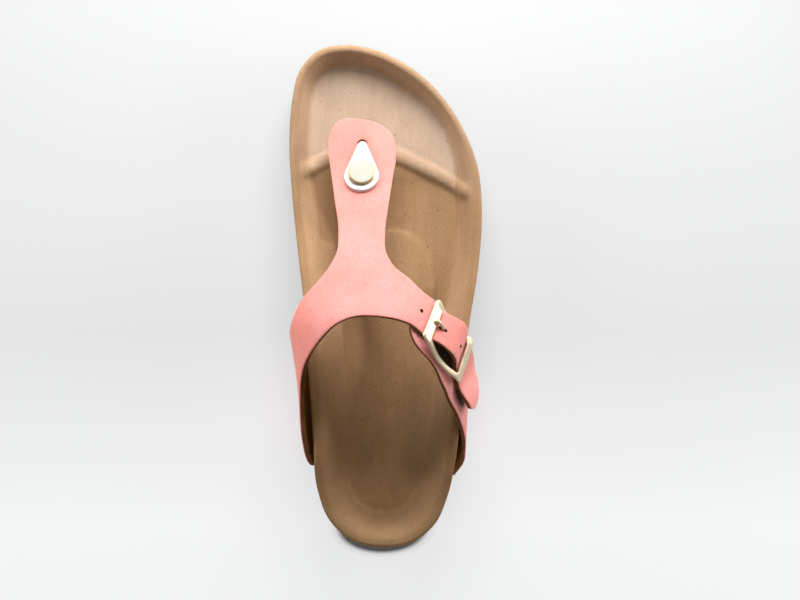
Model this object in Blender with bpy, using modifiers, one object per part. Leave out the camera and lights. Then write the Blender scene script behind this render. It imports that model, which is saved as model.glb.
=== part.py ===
"""Toe post sandal for the right foot.

A pressed cork footbed on a foam outsole, a suede insole, a T-shaped thong strap with a punched tail,
a buckle strap, a metal pin buckle, and a plastic toe post held by a round rivet.

Sizes are in millimetres and become metres where a mesh is made. The toe points to +Y, the outer
(little toe) side to +X, the floor is z = 0.
"""

import math

import bmesh
import bpy
import numpy as np
from mathutils import Matrix, Vector

MM = 0.001

# Fit between pieces
GAP = 0.3                     # clearance between pieces that touch
INSOLE_THICKNESS = 1.2
STRAP_THICKNESS = 2.2

# Ground contact
OUTSOLE_THICKNESS = 7.5
OUTSOLE_EDGE = 1.2            # bevel of the lower edge
SPRING_START, SPRING_RISE = 62.0, 9.0       # toe spring: where it starts (y), rise at the tip
HEEL_BEVEL_START, HEEL_BEVEL_RISE = -108.0, 2.0
WAIST_BACK, WAIST_FRONT, WAIST_RISE = -42.0, 18.0, 1.5
TOE_TIP, HEEL_END = 127.0, -125.6

# Rim of the footbed seen from above, once round: across (x), along (y)
OUTLINE = [
    (-20.5, 127.0),           # toe tip
    (-33.8, 124.3),
    (-43.4, 114.3),
    (-47.2, 99.5),
    (-48.8, 79.0),            # big toe joint
    (-47.6, 55.0),
    (-44.2, 23.0),
    (-40.4, -8.0),
    (-38.2, -41.5),           # inner waist
    (-36.1, -69.2),
    (-33.8, -96.9),
    (-28.4, -111.2),
    (-16.7, -122.1),
    (-1.9, -125.6),           # heel end
    (13.9, -122.8),
    (25.0, -113.5),
    (30.9, -100.4),
    (35.0, -82.2),
    (38.0, -54.6),            # outer waist
    (41.9, -16.0),
    (46.8, 14.0),
    (48.8, 43.0),             # little toe joint
    (46.4, 67.0),
    (38.5, 86.5),
    (26.5, 103.7),
    (9.0, 118.0),
    (-5.3, 124.5),
]

# Footbed sections from heel to toe: height of the bed on the centre line, of the rim on the inner
# and the outer side, and how far the wall reaches in from the rim on each side
SECTION_COLUMNS = ("y", "bed", "rim_in", "rim_out", "wall_in", "wall_out")
SECTIONS = [
    (-127.0, 21.0, 39.5, 39.5, 17.0, 17.0),
    (-108.0, 20.5, 39.5, 39.5, 16.5, 16.5),
    (-88.0, 20.0, 39.0, 38.5, 15.5, 15.5),
    (-62.0, 20.5, 38.5, 36.5, 18.0, 15.0),
    (-30.0, 21.5, 39.0, 32.5, 29.0, 14.5),
    (0.0, 20.0, 35.0, 28.5, 27.0, 14.0),
    (28.0, 16.5, 28.5, 25.5, 19.0, 14.0),
    (56.0, 14.5, 25.0, 24.5, 11.5, 13.5),
    (85.0, 14.8, 25.0, 25.0, 10.5, 10.0),
    (105.0, 16.5, 26.5, 26.5, 10.0, 9.5),
    (127.0, 19.5, 29.0, 29.0, 10.8, 10.8),
]
RIM_FLAT = 0.22               # share of the wall that is the flat top of the rim
RIM_ROUND = 1.6               # rounding of the outer edge of the rim

# Toe bar: crest line from the inner to the outer side
TOE_BAR_LINE = [(-42.0, 63.5), (-28.0, 70.5), (-12.0, 73.0), (6.0, 71.2), (22.0, 64.0), (43.0, 52.0)]
TOE_BAR_RISE, TOE_BAR_FRONT, TOE_BAR_BACK = 3.4, 5.6, 4.2

# Metatarsal pad: centre, half sizes, rise
PAD_X, PAD_Y, PAD_HALF_X, PAD_HALF_Y, PAD_RISE = 4.0, 6.0, 22.0, 28.0, 3.2

# Mesh of the footbed: spine ends, rows along the spine, fans round the ends, steps in from the rim
SPINE_HEEL, SPINE_TOE = -93.0, 86.0
SPINE_ROWS = [
    86.0, 80.5, 75.5, 71.0, 66.5, 62.0, 57.5, 53.0, 48.0, 42.0, 34.0, 26.0, 18.0, 10.0, 2.0,
    -6.0, -14.0, -23.0, -32.0, -42.0, -52.0, -62.0, -72.0, -82.0, -93.0,
]
TOE_FAN, HEEL_FAN = 16, 14
TOP_STEPS = (0.0, 1.6, 3.6, 6.2, 9.2, 12.6, 16.5, 22.0, 28.0)
UNDER_STEPS = (0.0, 14.0)

# Foot form that the straps are wrapped on: its crest, and its widest place on the inner and outer side
LAST_COLUMNS = ("y", "crest_x", "crest_z", "inner_z", "outer_z", "inner_x", "outer_x")
LAST = [
    (-95.0, -4.0, 69.0, 36.0, 25.0, -35.8, 39.4),
    (-70.0, -5.0, 72.0, 39.0, 26.0, -39.8, 40.3),
    (-45.0, -6.0, 74.5, 41.0, 26.5, -41.6, 41.6),
    (-25.0, -6.3, 75.5, 41.5, 27.0, -44.4, 42.6),
    (-11.0, -7.0, 74.0, 41.5, 28.0, -46.9, 43.4),
    (5.0, -8.8, 66.5, 40.5, 28.0, -47.3, 44.8),
    (28.0, -11.4, 53.5, 34.5, 27.0, -46.5, 46.0),
    (55.0, -11.7, 40.5, 27.0, 23.0, -46.0, 46.0),
    (79.0, -11.5, 30.5, 19.5, 19.0, -45.0, 46.0),
    (92.0, -11.5, 25.3, 15.0, 15.0, -44.0, 46.0),
]
POCKET_DEPTH = 13.0           # how far the strap ends reach in under the cork
POCKET_HEIGHT = STRAP_THICKNESS + 2 * GAP + 0.1
BEND = GAP + 0.1              # inner radius of the strap where it turns in under the cork
GIRTH_BEND = 0.1              # share of the girth coordinate taken by that turn
GIRTH_FLAP = 2.4              # girth coordinate of the strap ends

# Strap patterns. Girth is 0 on the crest, 1 at the widest place, 2 at the pocket under the cork,
# counted negative on the inner side. Each pattern is one edge line, closed by its straight base.
THONG_STRAP = [               # girth, y
    (-2.40, -87.5), (-2.20, -87.5), (-2.00, -87.0),            # inner base, back corner
    (-1.65, -85.6), (-1.30, -82.3), (-1.06, -77.5), (-0.93, -70.0), (-0.86, -61.0),
    (-0.80, -50.9), (-0.718, -41.0), (-0.638, -33.5), (-0.534, -26.9), (-0.418, -20.6),
    (-0.238, -12.8), (-0.102, -10.2), (0.022, -10.3),          # instep opening
    (0.126, -11.7), (0.218, -14.4), (0.276, -17.6), (0.322, -20.0), (0.368, -21.7),
    (0.446, -26.5), (0.525, -31.5), (0.582, -36.0), (0.618, -41.5), (0.645, -47.0), (0.685, -52.4),
    (0.725, -55.2), (0.765, -55.6), (0.81, -54.0), (0.85, -50.4), (0.876, -46.0),   # tip of the tail
    (0.875, -39.0), (0.82, -32.2), (0.724, -25.5), (0.64, -19.9), (0.562, -14.8),
    (0.484, -10.1), (0.45, -7.2), (0.408, -4.0), (0.322, 0.1),
    (0.23, 7.9), (0.17, 12.1), (0.13, 18.5),                   # flare into the stem
    (0.127, 30.1), (0.142, 40.3), (0.166, 55.0), (0.188, 71.0),
    (0.176, 78.0), (0.142, 82.6), (0.068, 87.0), (-0.054, 89.0),   # front end
    (-0.174, 89.0), (-0.274, 86.2), (-0.325, 80.5), (-0.338, 75.0),
    (-0.305, 64.3), (-0.255, 49.0), (-0.208, 31.5),
    (-0.225, 21.3), (-0.31, 12.7), (-0.434, 5.2), (-0.594, -2.3),   # flare into the inner arm
    (-0.722, -9.8), (-0.83, -14.8), (-1.00, -20.5), (-1.30, -27.0), (-1.65, -32.3),
    (-2.00, -36.0), (-2.20, -36.5), (-2.40, -36.5),            # inner base, front corner
]
BUCKLE_STRAP = [              # girth, y
    (2.40, -46.5), (2.20, -46.5), (2.00, -46.0),               # outer base, front corner
    (1.60, -43.0), (1.25, -40.3), (1.00, -37.3), (0.86, -33.8), (0.772, -29.6), (0.712, -25.6),
    (0.636, -20.6), (0.556, -15.6), (0.478, -11.0), (0.40, -7.9),
    (0.33, -7.6), (0.265, -10.2), (0.228, -14.0),              # round end under the thong strap
    (0.222, -18.0), (0.24, -22.1), (0.288, -26.3), (0.36, -30.6), (0.424, -35.6), (0.484, -41.6),
    (0.548, -46.7), (0.604, -51.8), (0.664, -56.4), (0.724, -60.5), (0.80, -65.6), (0.92, -71.0),
    (1.10, -77.5), (1.40, -84.3), (1.70, -89.0),
    (2.00, -91.6), (2.20, -92.0), (2.40, -92.0),               # outer base, back corner
]
PATTERN_GIRTH_STEP, PATTERN_Y_STEP = 0.11, 5.5   # spacing of the bend lines
THONG_EDGE_POINTS, BUCKLE_STRAP_EDGE_POINTS = 150, 84

# How far each strap stands off the foot form: the tail climbs over the buckle strap
TAIL_LIFT, TAIL_LIFT_FROM, TAIL_LIFT_TO = 1.7, -0.18, 0.26
TIP_SPRING, TIP_SPRING_GIRTH, TIP_SPRING_Y, TIP_SPRING_RUN = 3.0, 0.45, -32.0, 18.0
BUCKLE_STRAP_SINK, SINK_FROM, SINK_TO = 1.5, 1.0, 1.7

# Toe post, tongue and rivet
POST_X, POST_Y = -11.5, 76.6
POST_RADIUS, POST_FOOT_RADIUS = 2.3, 3.2
POST_HOLE_CLEARANCE = 0.35
STRAP_HOLE_Y, STRAP_HOLE_RADIUS = 75.5, 2.9
TONGUE_THICKNESS = 1.8
TONGUE_FRONT_Y, TONGUE_FRONT_RADIUS = 73.8, 2.4     # narrow end of the drop, joined to the post
TONGUE_BACK_Y, TONGUE_BACK_RADIUS = 58.3, 8.5       # wide end
RIVET_Y = 60.8
RIVET_RADIUS, RIVET_HEIGHT = 6.6, 1.9

# Pin buckle
INNER_BAR = (0.371, -12.4)    # girth, y of the middle of the inner bar on the tail
OUTER_BAR = (0.645, -30.8)    # same for the outer bar
BAR_WIDTH, ARM_WIDTH = 5.2, 2.8
FRAME_OPENING = 16.6          # across the tail
TAIL_HUMP, HUMP_POWER = 4.4, 1.3   # rise of the tail where it passes over the thin bar
FRAME_THICKNESS = 1.6
FRAME_CORNER = 2.4
ARM_DIP, ARM_DROP = 1.4, 0.45  # dip of the arms, share of each half arm over which they come down
CENTRE_BAR_RADIUS = 1.05
PRONG_RADIUS = 0.85
HOLE_RADIUS = 1.1
TAIL_HOLES = (-20.2, 4.1)     # along the tail from the middle of the buckle
PRONG_HOLE = -7.0
PRONG_SLOT = 1.3              # half length of the hole that the prong comes through
PRESS_MARGIN, PRESS_FADE = 1.0, 15.0        # the buckle presses the straps into its own bend
TAIL_BEND_LINES = (-11.0, -8.2, -5.4, -2.7, 0.0, 2.7, 5.4, 8.2, 11.0)   # along the tail, at its hump

SMOOTH_SEGMENTS = 24
CENTRED = Matrix.Translation((0.0, -(TOE_TIP + HEEL_END) / 2 * MM, 0.0))   # origin in the middle of the sole


def smooth(knots, values, at):
    """Smooth curve through the knots, level beyond both ends."""
    knots, values = np.asarray(knots, float), np.asarray(values, float)
    at = np.clip(np.asarray(at, float), knots[0], knots[-1])
    slopes = np.gradient(values, knots)
    i = np.clip(np.searchsorted(knots, at, side="right") - 1, 0, len(knots) - 2)
    span = knots[i + 1] - knots[i]
    t = (at - knots[i]) / span
    return (
        values[i] * (1 + 2 * t) * (1 - t) ** 2
        + slopes[i] * span * t * (1 - t) ** 2
        + values[i + 1] * t * t * (3 - 2 * t)
        + slopes[i + 1] * span * t * t * (t - 1)
    )


def ease(t):
    """0 to 1 with level ends."""
    t = np.clip(t, 0.0, 1.0)
    return t * t * (3 - 2 * t)


def curve_through(points, count, closed=False, scale=(1.0, 1.0)):
    """Evenly sampled smooth line through plane points."""
    points = np.asarray(points, float)
    if closed:
        points = np.vstack([points[-3:], points, points[:4]])
    steps = np.linalg.norm(np.diff(points * np.asarray(scale), axis=0), axis=1)
    along = np.concatenate([[0.0], np.cumsum(steps)])
    first, last = (along[3], along[-4]) if closed else (along[0], along[-1])
    at = np.linspace(first, last, count, endpoint=not closed)
    return np.stack([smooth(along, points[:, 0], at), smooth(along, points[:, 1], at)], axis=1)


def column(columns, rows, name, at):
    """One named column of a section table, read between its rows."""
    rows = np.asarray(rows, float)
    return smooth(rows[:, 0], rows[:, columns.index(name)], at)


RIM = curve_through(OUTLINE, 720, closed=True)


def rim_x(y, outer):
    """Where the rim is at a place along the sole, on the inner or the outer side."""
    toe, heel = int(RIM[:, 1].argmax()), int(RIM[:, 1].argmin())
    rolled = np.roll(RIM, -toe, axis=0)
    heel = (heel - toe) % len(RIM)
    half = rolled[heel:] if outer else rolled[:heel + 1][::-1]
    return np.interp(y, half[:, 1], half[:, 0])


# Sole

def ground(y):
    """Underside of the outsole: flat under heel and ball, raised at waist, heel edge and toe."""
    y = np.asarray(y, float)
    spring = SPRING_RISE * np.clip((y - SPRING_START) / (TOE_TIP - SPRING_START), 0, None) ** 2
    heel = HEEL_BEVEL_RISE * np.clip((y - HEEL_BEVEL_START) / (HEEL_END - HEEL_BEVEL_START), 0, None) ** 2
    in_waist = np.clip((y - WAIST_BACK) / (WAIST_FRONT - WAIST_BACK), 0, 1)
    return spring + heel + WAIST_RISE * np.sin(math.pi * in_waist) ** 2


def joint(y):
    """Where the cork sits on the outsole."""
    y = np.asarray(y, float)
    spring = SPRING_RISE * np.clip((y - SPRING_START) / (TOE_TIP - SPRING_START), 0, None) ** 2
    return OUTSOLE_THICKNESS + spring


def toe_bar(x, y):
    line = np.asarray(TOE_BAR_LINE)
    off = y - smooth(line[:, 0], line[:, 1], x)
    width = np.where(off > 0, TOE_BAR_FRONT, TOE_BAR_BACK)
    return TOE_BAR_RISE * np.exp(-((off / width) ** 2))


def metatarsal_pad(x, y):
    r2 = ((x - PAD_X) / PAD_HALF_X) ** 2 + ((y - PAD_Y) / PAD_HALF_Y) ** 2
    return PAD_RISE * np.clip(1 - r2, 0, None)


class SoleRays:
    """Lines from the spine of the sole out to its rim, once round, counter-clockwise from above."""

    def __init__(self, rows=SPINE_ROWS, toe_fan=TOE_FAN, heel_fan=HEEL_FAN):
        rows = np.asarray(rows, float)
        self.spine = np.stack([(rim_x(rows, False) + rim_x(rows, True)) / 2, rows], axis=1)
        last = len(rows) - 1
        rays = [(0, a) for a in np.linspace(0, math.pi, toe_fan + 1)]
        rays += [(i, math.pi) for i in range(1, last)]
        rays += [(last, a) for a in np.linspace(math.pi, 2 * math.pi, heel_fan + 1)]
        rays += [(i, 0.0) for i in range(last - 1, 0, -1)]
        self.index = np.array([r[0] for r in rays])
        angle = np.array([r[1] for r in rays])
        self.start = self.spine[self.index]
        self.direction = np.stack([np.cos(angle), np.sin(angle)], axis=1)
        reach = np.array([self.reach(s, a) for s, a in zip(self.start, angle)])
        self.end = self.start + self.direction * reach[:, None]
        self.length = reach
        self.inner_share = (1 - self.direction[:, 0]) / 2

    @staticmethod
    def reach(start, angle):
        """Distance from a spine point to the rim in one direction."""
        off = RIM - start
        bearing = np.arctan2(off[:, 1], off[:, 0]) - angle
        bearing = (bearing + math.pi) % (2 * math.pi) - math.pi
        order = np.argsort(bearing)
        return float(np.interp(0.0, bearing[order], np.hypot(off[:, 0], off[:, 1])[order]))

    def loop(self, inset):
        return self.end - self.direction * np.minimum(inset, self.length - 3.0)[:, None]

    def side_value(self, name):
        """A section column at the rim end of each ray, mixed round toe and heel."""
        y = self.end[:, 1]
        inner = column(SECTION_COLUMNS, SECTIONS, name + "_in", y)
        outer = column(SECTION_COLUMNS, SECTIONS, name + "_out", y)
        return outer + (inner - outer) * self.inner_share

    def top_height(self, points, inset):
        """Upper side of the insole at a distance in from the rim."""
        x, y = points[:, 0], points[:, 1]
        bed = column(SECTION_COLUMNS, SECTIONS, "bed", y) + toe_bar(x, y) + metatarsal_pad(x, y)
        t = (inset / self.side_value("wall") - RIM_FLAT) / (1 - RIM_FLAT)
        height = bed + (self.side_value("rim") - bed) * (1 - ease(t))
        return height - RIM_ROUND * 0.6 * np.clip(1 - inset / RIM_ROUND, 0, 1) ** 2

    def spine_height(self):
        x, y = self.spine[:, 0], self.spine[:, 1]
        return column(SECTION_COLUMNS, SECTIONS, "bed", y) + toe_bar(x, y) + metatarsal_pad(x, y)


def with_height(points, height):
    return np.column_stack([points, np.broadcast_to(height, len(points))])


def sole_solid(name, rays, loops, top_spine, under_spine, top_count):
    """Closed body from loops that run from the top spine out to the edge and back in underneath.

    Facing faces of two pieces are split along the same diagonals, so that they stay apart evenly.
    """
    bm = bmesh.new()
    rings = [[bm.verts.new(Vector(p) * MM) for p in loop] for loop in loops]
    count = len(rays.index)
    for i, (near, far) in enumerate(zip(rings, rings[1:])):
        for j in range(count):
            k = (j + 1) % count
            if i < top_count:
                bm.faces.new((near[j], far[j], far[k]))
                bm.faces.new((near[j], far[k], near[k]))
            else:
                bm.faces.new((near[j], far[j], near[k]))
                bm.faces.new((near[k], far[j], far[k]))
    for ring, spine in ((rings[0], top_spine), (rings[-1], under_spine)):
        ridge = [bm.verts.new(Vector(p) * MM) for p in spine]
        for j in range(count):
            k = (j + 1) % count
            a, b = ridge[rays.index[j]], ridge[rays.index[k]]
            bm.faces.new((ring[j], ring[k], b))
            if a is not b:
                bm.faces.new((ring[j], b, a))
    return finish_mesh(name, bm)


def make_insole(rays):
    top, under = [], []
    for step in reversed(TOP_STEPS):
        points = rays.loop(step)
        top.append(with_height(points, rays.top_height(points, step)))
    for loop in reversed(top):
        under.append(loop - np.array([0, 0, INSOLE_THICKNESS]))
    crest = with_height(rays.spine, rays.spine_height())
    base = crest - np.array([0, 0, INSOLE_THICKNESS])
    return sole_solid("insole", rays, top + under, crest, base, len(top))


def make_footbed(rays):
    drop = np.array([0, 0, INSOLE_THICKNESS + GAP])
    loops = []
    for step in reversed(TOP_STEPS):
        points = rays.loop(step)
        loops.append(with_height(points, rays.top_height(points, step)) - drop)
    for step in UNDER_STEPS:
        points = rays.loop(step)
        loops.append(with_height(points, joint(points[:, 1]) + GAP / 2))
    crest = with_height(rays.spine, rays.spine_height()) - drop
    base = with_height(rays.spine, joint(rays.spine[:, 1]) + GAP / 2)
    return sole_solid("footbed", rays, loops, crest, base, len(TOP_STEPS))


def make_outsole(rays):
    loops = []
    for step in reversed(UNDER_STEPS):
        points = rays.loop(step)
        loops.append(with_height(points, joint(points[:, 1]) - GAP / 2))
    points = rays.loop(0.0)
    loops.append(with_height(points, ground(points[:, 1]) + OUTSOLE_EDGE))
    for step in (OUTSOLE_EDGE, 14.0):
        points = rays.loop(step)
        loops.append(with_height(points, ground(points[:, 1])))
    top = with_height(rays.spine, joint(rays.spine[:, 1]) - GAP / 2)
    under = with_height(rays.spine, ground(rays.spine[:, 1]))
    return sole_solid("outsole", rays, loops, top, under, len(UNDER_STEPS))


# Straps

def last_point(girth, y):
    """Point on the foot form; beyond girth 2 the path turns in under the cork."""
    girth, y = np.broadcast_arrays(np.asarray(girth, float), np.asarray(y, float))
    outer = girth > 0
    g = np.abs(girth)
    crest_x = column(LAST_COLUMNS, LAST, "crest_x", y)
    crest_z = column(LAST_COLUMNS, LAST, "crest_z", y)
    side_z = np.where(outer, column(LAST_COLUMNS, LAST, "outer_z", y), column(LAST_COLUMNS, LAST, "inner_z", y))
    side_x = np.where(outer, column(LAST_COLUMNS, LAST, "outer_x", y), column(LAST_COLUMNS, LAST, "inner_x", y))
    sign = np.where(outer, 1.0, -1.0)
    edge_x = np.where(outer, rim_x(y, True), rim_x(y, False))
    ceiling = joint(y) + GAP / 2 + POCKET_HEIGHT

    over = np.minimum(g, 1.0) * math.pi / 2
    x = crest_x + (side_x - crest_x) * np.sin(over)
    z = side_z + (crest_z - side_z) * np.cos(over)

    down = np.clip(g - 1.0, 0.0, 1.0)
    x = np.where(g > 1.0, side_x + (edge_x + sign * BEND - side_x) * down ** 1.7, x)
    z = np.where(g > 1.0, side_z + (ceiling - side_z) * down, z)

    turn = np.clip((g - 2.0) / GIRTH_BEND, 0.0, 1.0) * math.pi / 2
    inward = POCKET_DEPTH * np.clip((g - 2.0 - GIRTH_BEND) / (GIRTH_FLAP - 2.0 - GIRTH_BEND), 0.0, 1.0)
    x = np.where(g > 2.0, edge_x + sign * (BEND * np.cos(turn) - inward), x)
    z = np.where(g > 2.0, ceiling - BEND * np.sin(turn), z)
    return np.stack([x, y, z], axis=-1)


def last_normal(girth, y):
    """Direction away from the foot."""
    dg, dy = 0.004, 0.4
    across = last_point(np.asarray(girth) + dg, y) - last_point(np.asarray(girth) - dg, y)
    along = last_point(girth, np.asarray(y) + dy) - last_point(girth, np.asarray(y) - dy)
    normal = np.cross(across, along)
    return normal / np.linalg.norm(normal, axis=-1, keepdims=True)


def thong_lift(girth, y):
    """The tail climbs over the buckle strap, and its tip springs off it."""
    girth = np.asarray(girth, float)
    climb = TAIL_LIFT * ease((girth - TAIL_LIFT_FROM) / (TAIL_LIFT_TO - TAIL_LIFT_FROM))
    spring = ease((TIP_SPRING_Y - np.asarray(y, float)) / TIP_SPRING_RUN)
    return climb + TIP_SPRING * spring * ease((girth - TIP_SPRING_GIRTH) / 0.2)


def buckle_strap_lift(girth):
    return -BUCKLE_STRAP_SINK * (1 - ease((np.asarray(girth) - SINK_FROM) / (SINK_TO - SINK_FROM)))


def girth_at(x, y):
    """Girth coordinate of a place on the upper half of the foot form, seen from above."""
    crest = column(LAST_COLUMNS, LAST, "crest_x", y)
    side = np.where(np.asarray(x) > crest, column(LAST_COLUMNS, LAST, "outer_x", y),
                    column(LAST_COLUMNS, LAST, "inner_x", y))
    share = np.clip((x - crest) / (side - crest), 0, 1)
    return np.sign(x - crest) * np.arcsin(share) * 2 / math.pi


class BuckleSeat:
    """Place and bend of the buckle, taken from the outer face of the tail under its two bars."""

    def __init__(self):
        ends, ups = [], []
        for girth, y in (INNER_BAR, OUTER_BAR):
            up = last_normal(girth, y)
            ends.append(Vector(last_point(girth, y) + up * (float(thong_lift(girth, y)) + STRAP_THICKNESS)))
            ups.append(Vector(up))
        self.half = (ends[1] - ends[0]).length / 2
        along = (ends[1] - ends[0]).normalized()
        up = ups[0] + ups[1]
        up = (up - along * up.dot(along)).normalized()
        across = up.cross(along)
        lean = [math.atan2(u.dot(along), u.dot(up)) for u in ups]
        self.radius = self.half / math.sin((lean[1] - lean[0]) / 2)
        self.frame = Matrix((along, across, up)).transposed().to_4x4()
        self.frame.translation = (ends[0] + ends[1]) / 2 * MM
        self.axes = np.array([along, across, up])
        self.middle = np.array((ends[0] + ends[1]) / 2)

    def rise(self, p):
        """Height of the outer face of the tail over the line between the two bars."""
        level = math.sqrt(self.radius ** 2 - self.half ** 2)
        p = np.clip(np.asarray(p, float), -0.9 * self.radius, 0.9 * self.radius)
        return np.sqrt(self.radius ** 2 - p ** 2) - level

    def pattern_spot(self, p, q):
        """Girth and y of a place on the tail, given along and across the buckle."""
        along, across, up = self.axes
        spot = self.middle + along * p + across * q + up * (float(self.rise(p)) - TAIL_LIFT - STRAP_THICKNESS)
        return float(girth_at(spot[0], spot[1])), float(spot[1])

    def hump(self, p):
        """How far the tail rises between the two bars, over the thin bar."""
        window = self.half - BAR_WIDTH / 2 - 2 * GAP
        return TAIL_HUMP * np.clip(1 - (np.asarray(p, float) / window) ** 2, 0, None) ** HUMP_POWER

    def tail_face(self, p):
        return self.rise(p) + self.hump(p)

    def press(self, points, depth, humped):
        """Bring points near the buckle into its bend, a depth below the outer face of the tail."""
        local = (points - self.middle) @ self.axes.T
        face = self.tail_face(local[..., 0]) if humped else self.rise(local[..., 0])
        reach = (self.half + BAR_WIDTH / 2, FRAME_OPENING / 2 + ARM_WIDTH, 10.0)
        share = np.ones(local.shape[:-1])
        for i in (0, 1, 2):
            share = share * (1 - ease((np.abs(local[..., i]) - reach[i] - PRESS_MARGIN) / PRESS_FADE))
        local[..., 2] += share * (face - depth - local[..., 2])
        return local @ self.axes + self.middle


SEAT = BuckleSeat()


def thong_place(girth, y):
    """Inner face of the thong strap."""
    lifted = last_point(girth, y) + last_normal(girth, y) * np.asarray(thong_lift(girth, y))[..., None]
    return SEAT.press(lifted, STRAP_THICKNESS, True)


def buckle_strap_place(girth, y):
    """Inner face of the buckle strap, which passes under the buckle."""
    lifted = last_point(girth, y) + last_normal(girth, y) * np.asarray(buckle_strap_lift(girth))[..., None]
    return SEAT.press(lifted, 2 * STRAP_THICKNESS + 2 * GAP, False)


def drape(name, edge, place, thickness, girth_step=PATTERN_GIRTH_STEP, y_step=PATTERN_Y_STEP, lines=()):
    """Cut a flat pattern, score it with bend lines and wrap it on the foot form as a sheet.

    Bend lines run across and along the whole pattern, and between the ends given in lines.
    """
    flat = 45.0               # girth share to millimetres, for square bend lines
    bm = bmesh.new()
    bm.faces.new([bm.verts.new((g * flat, y, 0.0)) for g, y in edge])
    low, high = edge.min(axis=0), edge.max(axis=0)
    girths = np.arange(math.ceil(low[0] / girth_step), high[0] / girth_step) * girth_step
    girths = [g for g in girths if abs(g) < 1.98]
    girths += [s * (2.0 + GIRTH_BEND * k / 3) for s in (-1, 1) for k in range(4)]
    cuts = [((g * flat, 0, 0), (1, 0, 0)) for g in girths if low[0] < g < high[0]]
    rows = np.arange(math.ceil(low[1] / y_step), high[1] / y_step) * y_step
    cuts += [((0, y, 0), (0, 1, 0)) for y in rows]
    for spot, direction in cuts:
        bmesh.ops.bisect_plane(bm, geom=bm.verts[:] + bm.edges[:] + bm.faces[:], dist=1e-4,
                               plane_co=spot, plane_no=direction)
    for start, stop in lines:
        a, b = (Vector((g * flat, y, 0.0)) for g, y in (start, stop))
        ahead = (b - a).normalized()
        near = [f for f in bm.faces if -2.0 < (f.calc_center_median() - a).dot(ahead) < (b - a).length + 2.0
                and (f.calc_center_median() - a).cross(ahead).length < 8.0]
        geom = set(near) | {e for f in near for e in f.edges} | {v for f in near for v in f.verts}
        bmesh.ops.bisect_plane(bm, geom=list(geom), dist=1e-4, plane_co=a, plane_no=(ahead.y, -ahead.x, 0))
    bmesh.ops.remove_doubles(bm, verts=bm.verts[:], dist=0.05)
    girth = np.array([v.co.x / flat for v in bm.verts])
    y = np.array([v.co.y for v in bm.verts])
    for v, p in zip(bm.verts, place(girth, y)):
        v.co = Vector(p) * MM
    sheet = finish_mesh(name, bm, closed=False)
    solidify = sheet.modifiers.new("thickness", "SOLIDIFY")
    solidify.thickness = thickness * MM
    solidify.offset = 1.0
    solidify.use_even_offset = True
    apply_modifiers(sheet)
    return sheet


def strap_edge(anchors, count):
    return curve_through(anchors, count, scale=(45.0, 1.0))


def pocket_cutter(name, pattern, outer):
    """Room for a strap end under the cork."""
    base = [y for g, y in pattern if abs(g) >= 2.0]
    back, front = min(base) - 2 * GAP, max(base) + 2 * GAP
    edges = rim_x(np.array([back, front]), outer)
    sign = 1.0 if outer else -1.0
    inside = min(abs(edges)) - POCKET_DEPTH - 1.0
    outside = max(abs(edges)) + 5.0
    bottom = float(joint(back)) - 2.0
    top = float(joint(back)) + GAP / 2 + POCKET_HEIGHT
    size = (outside - inside, front - back, top - bottom)
    place = (sign * (inside + outside) / 2, (front + back) / 2, (top + bottom) / 2)
    return box(name, place, size)


# Small pieces

def tongue_place(girth, y):
    """Underside of the tongue, lying on the strap."""
    stand = np.asarray(thong_lift(girth, y)) + STRAP_THICKNESS + GAP
    return last_point(girth, y) + last_normal(girth, y) * stand[..., None]


def make_tongue():
    """Drop-shaped plate lying on the front end of the strap."""
    slope = np.gradient(last_point(0.0, np.array([RIVET_Y - 1, RIVET_Y, RIVET_Y + 1]))[:, 2])[1]
    along = 1 / math.hypot(1, slope)            # plan length of a millimetre on the slope
    reach = (TONGUE_FRONT_Y - TONGUE_BACK_Y) / along
    back, front = TONGUE_BACK_RADIUS, TONGUE_FRONT_RADIUS
    lean = math.asin((back - front) / reach)
    wide = np.linspace(math.pi - lean, 2 * math.pi + lean, 27)
    narrow = np.linspace(lean, math.pi - lean, 11)
    drop = [(back * math.cos(a), back * math.sin(a)) for a in wide]
    drop += [(front * math.cos(a), reach + front * math.sin(a)) for a in narrow]
    drop = np.array(drop)
    y = TONGUE_BACK_Y + drop[:, 1] * along
    x = column(LAST_COLUMNS, LAST, "crest_x", y) + drop[:, 0]
    edge = np.stack([girth_at(x, y), y], axis=1)
    return drape("toe_post", edge, tongue_place, TONGUE_THICKNESS, 0.08, 6.0)


def make_post(tongue):
    """Round post from the outsole through footbed and strap, joined into the tongue."""
    top = surface_frame(0.0, TONGUE_FRONT_Y + 0.3, STRAP_THICKNESS + GAP + TONGUE_THICKNESS * 0.6).translation / MM
    foot_z = float(joint(POST_Y)) + GAP
    stem = swept_round("post", [
        (POST_X, POST_Y, foot_z), (POST_X, POST_Y, foot_z + 4.0),
        (POST_X, POST_Y - 0.2, top.z - 10.0), (top.x, top.y, top.z),
    ], [POST_FOOT_RADIUS, POST_FOOT_RADIUS, POST_RADIUS, POST_RADIUS - 0.1])
    boolean(tongue, stem, "UNION")
    drop_object(stem)
    return tongue


def make_rivet():
    """Low round cap, turned."""
    r, h = RIVET_RADIUS, RIVET_HEIGHT
    profile = [(0.0, 0.0), (r - 0.4, 0.0), (r, 0.4), (r, h * 0.45), (r - 0.5, h * 0.75),
               (r - 1.6, h * 0.93), (r * 0.4, h), (0.0, h)]
    cap = turned("post_rivet", profile)
    cap.matrix_world = surface_frame(0.0, RIVET_Y, STRAP_THICKNESS + 2 * GAP + TONGUE_THICKNESS)
    settle(cap)
    return cap


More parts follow.
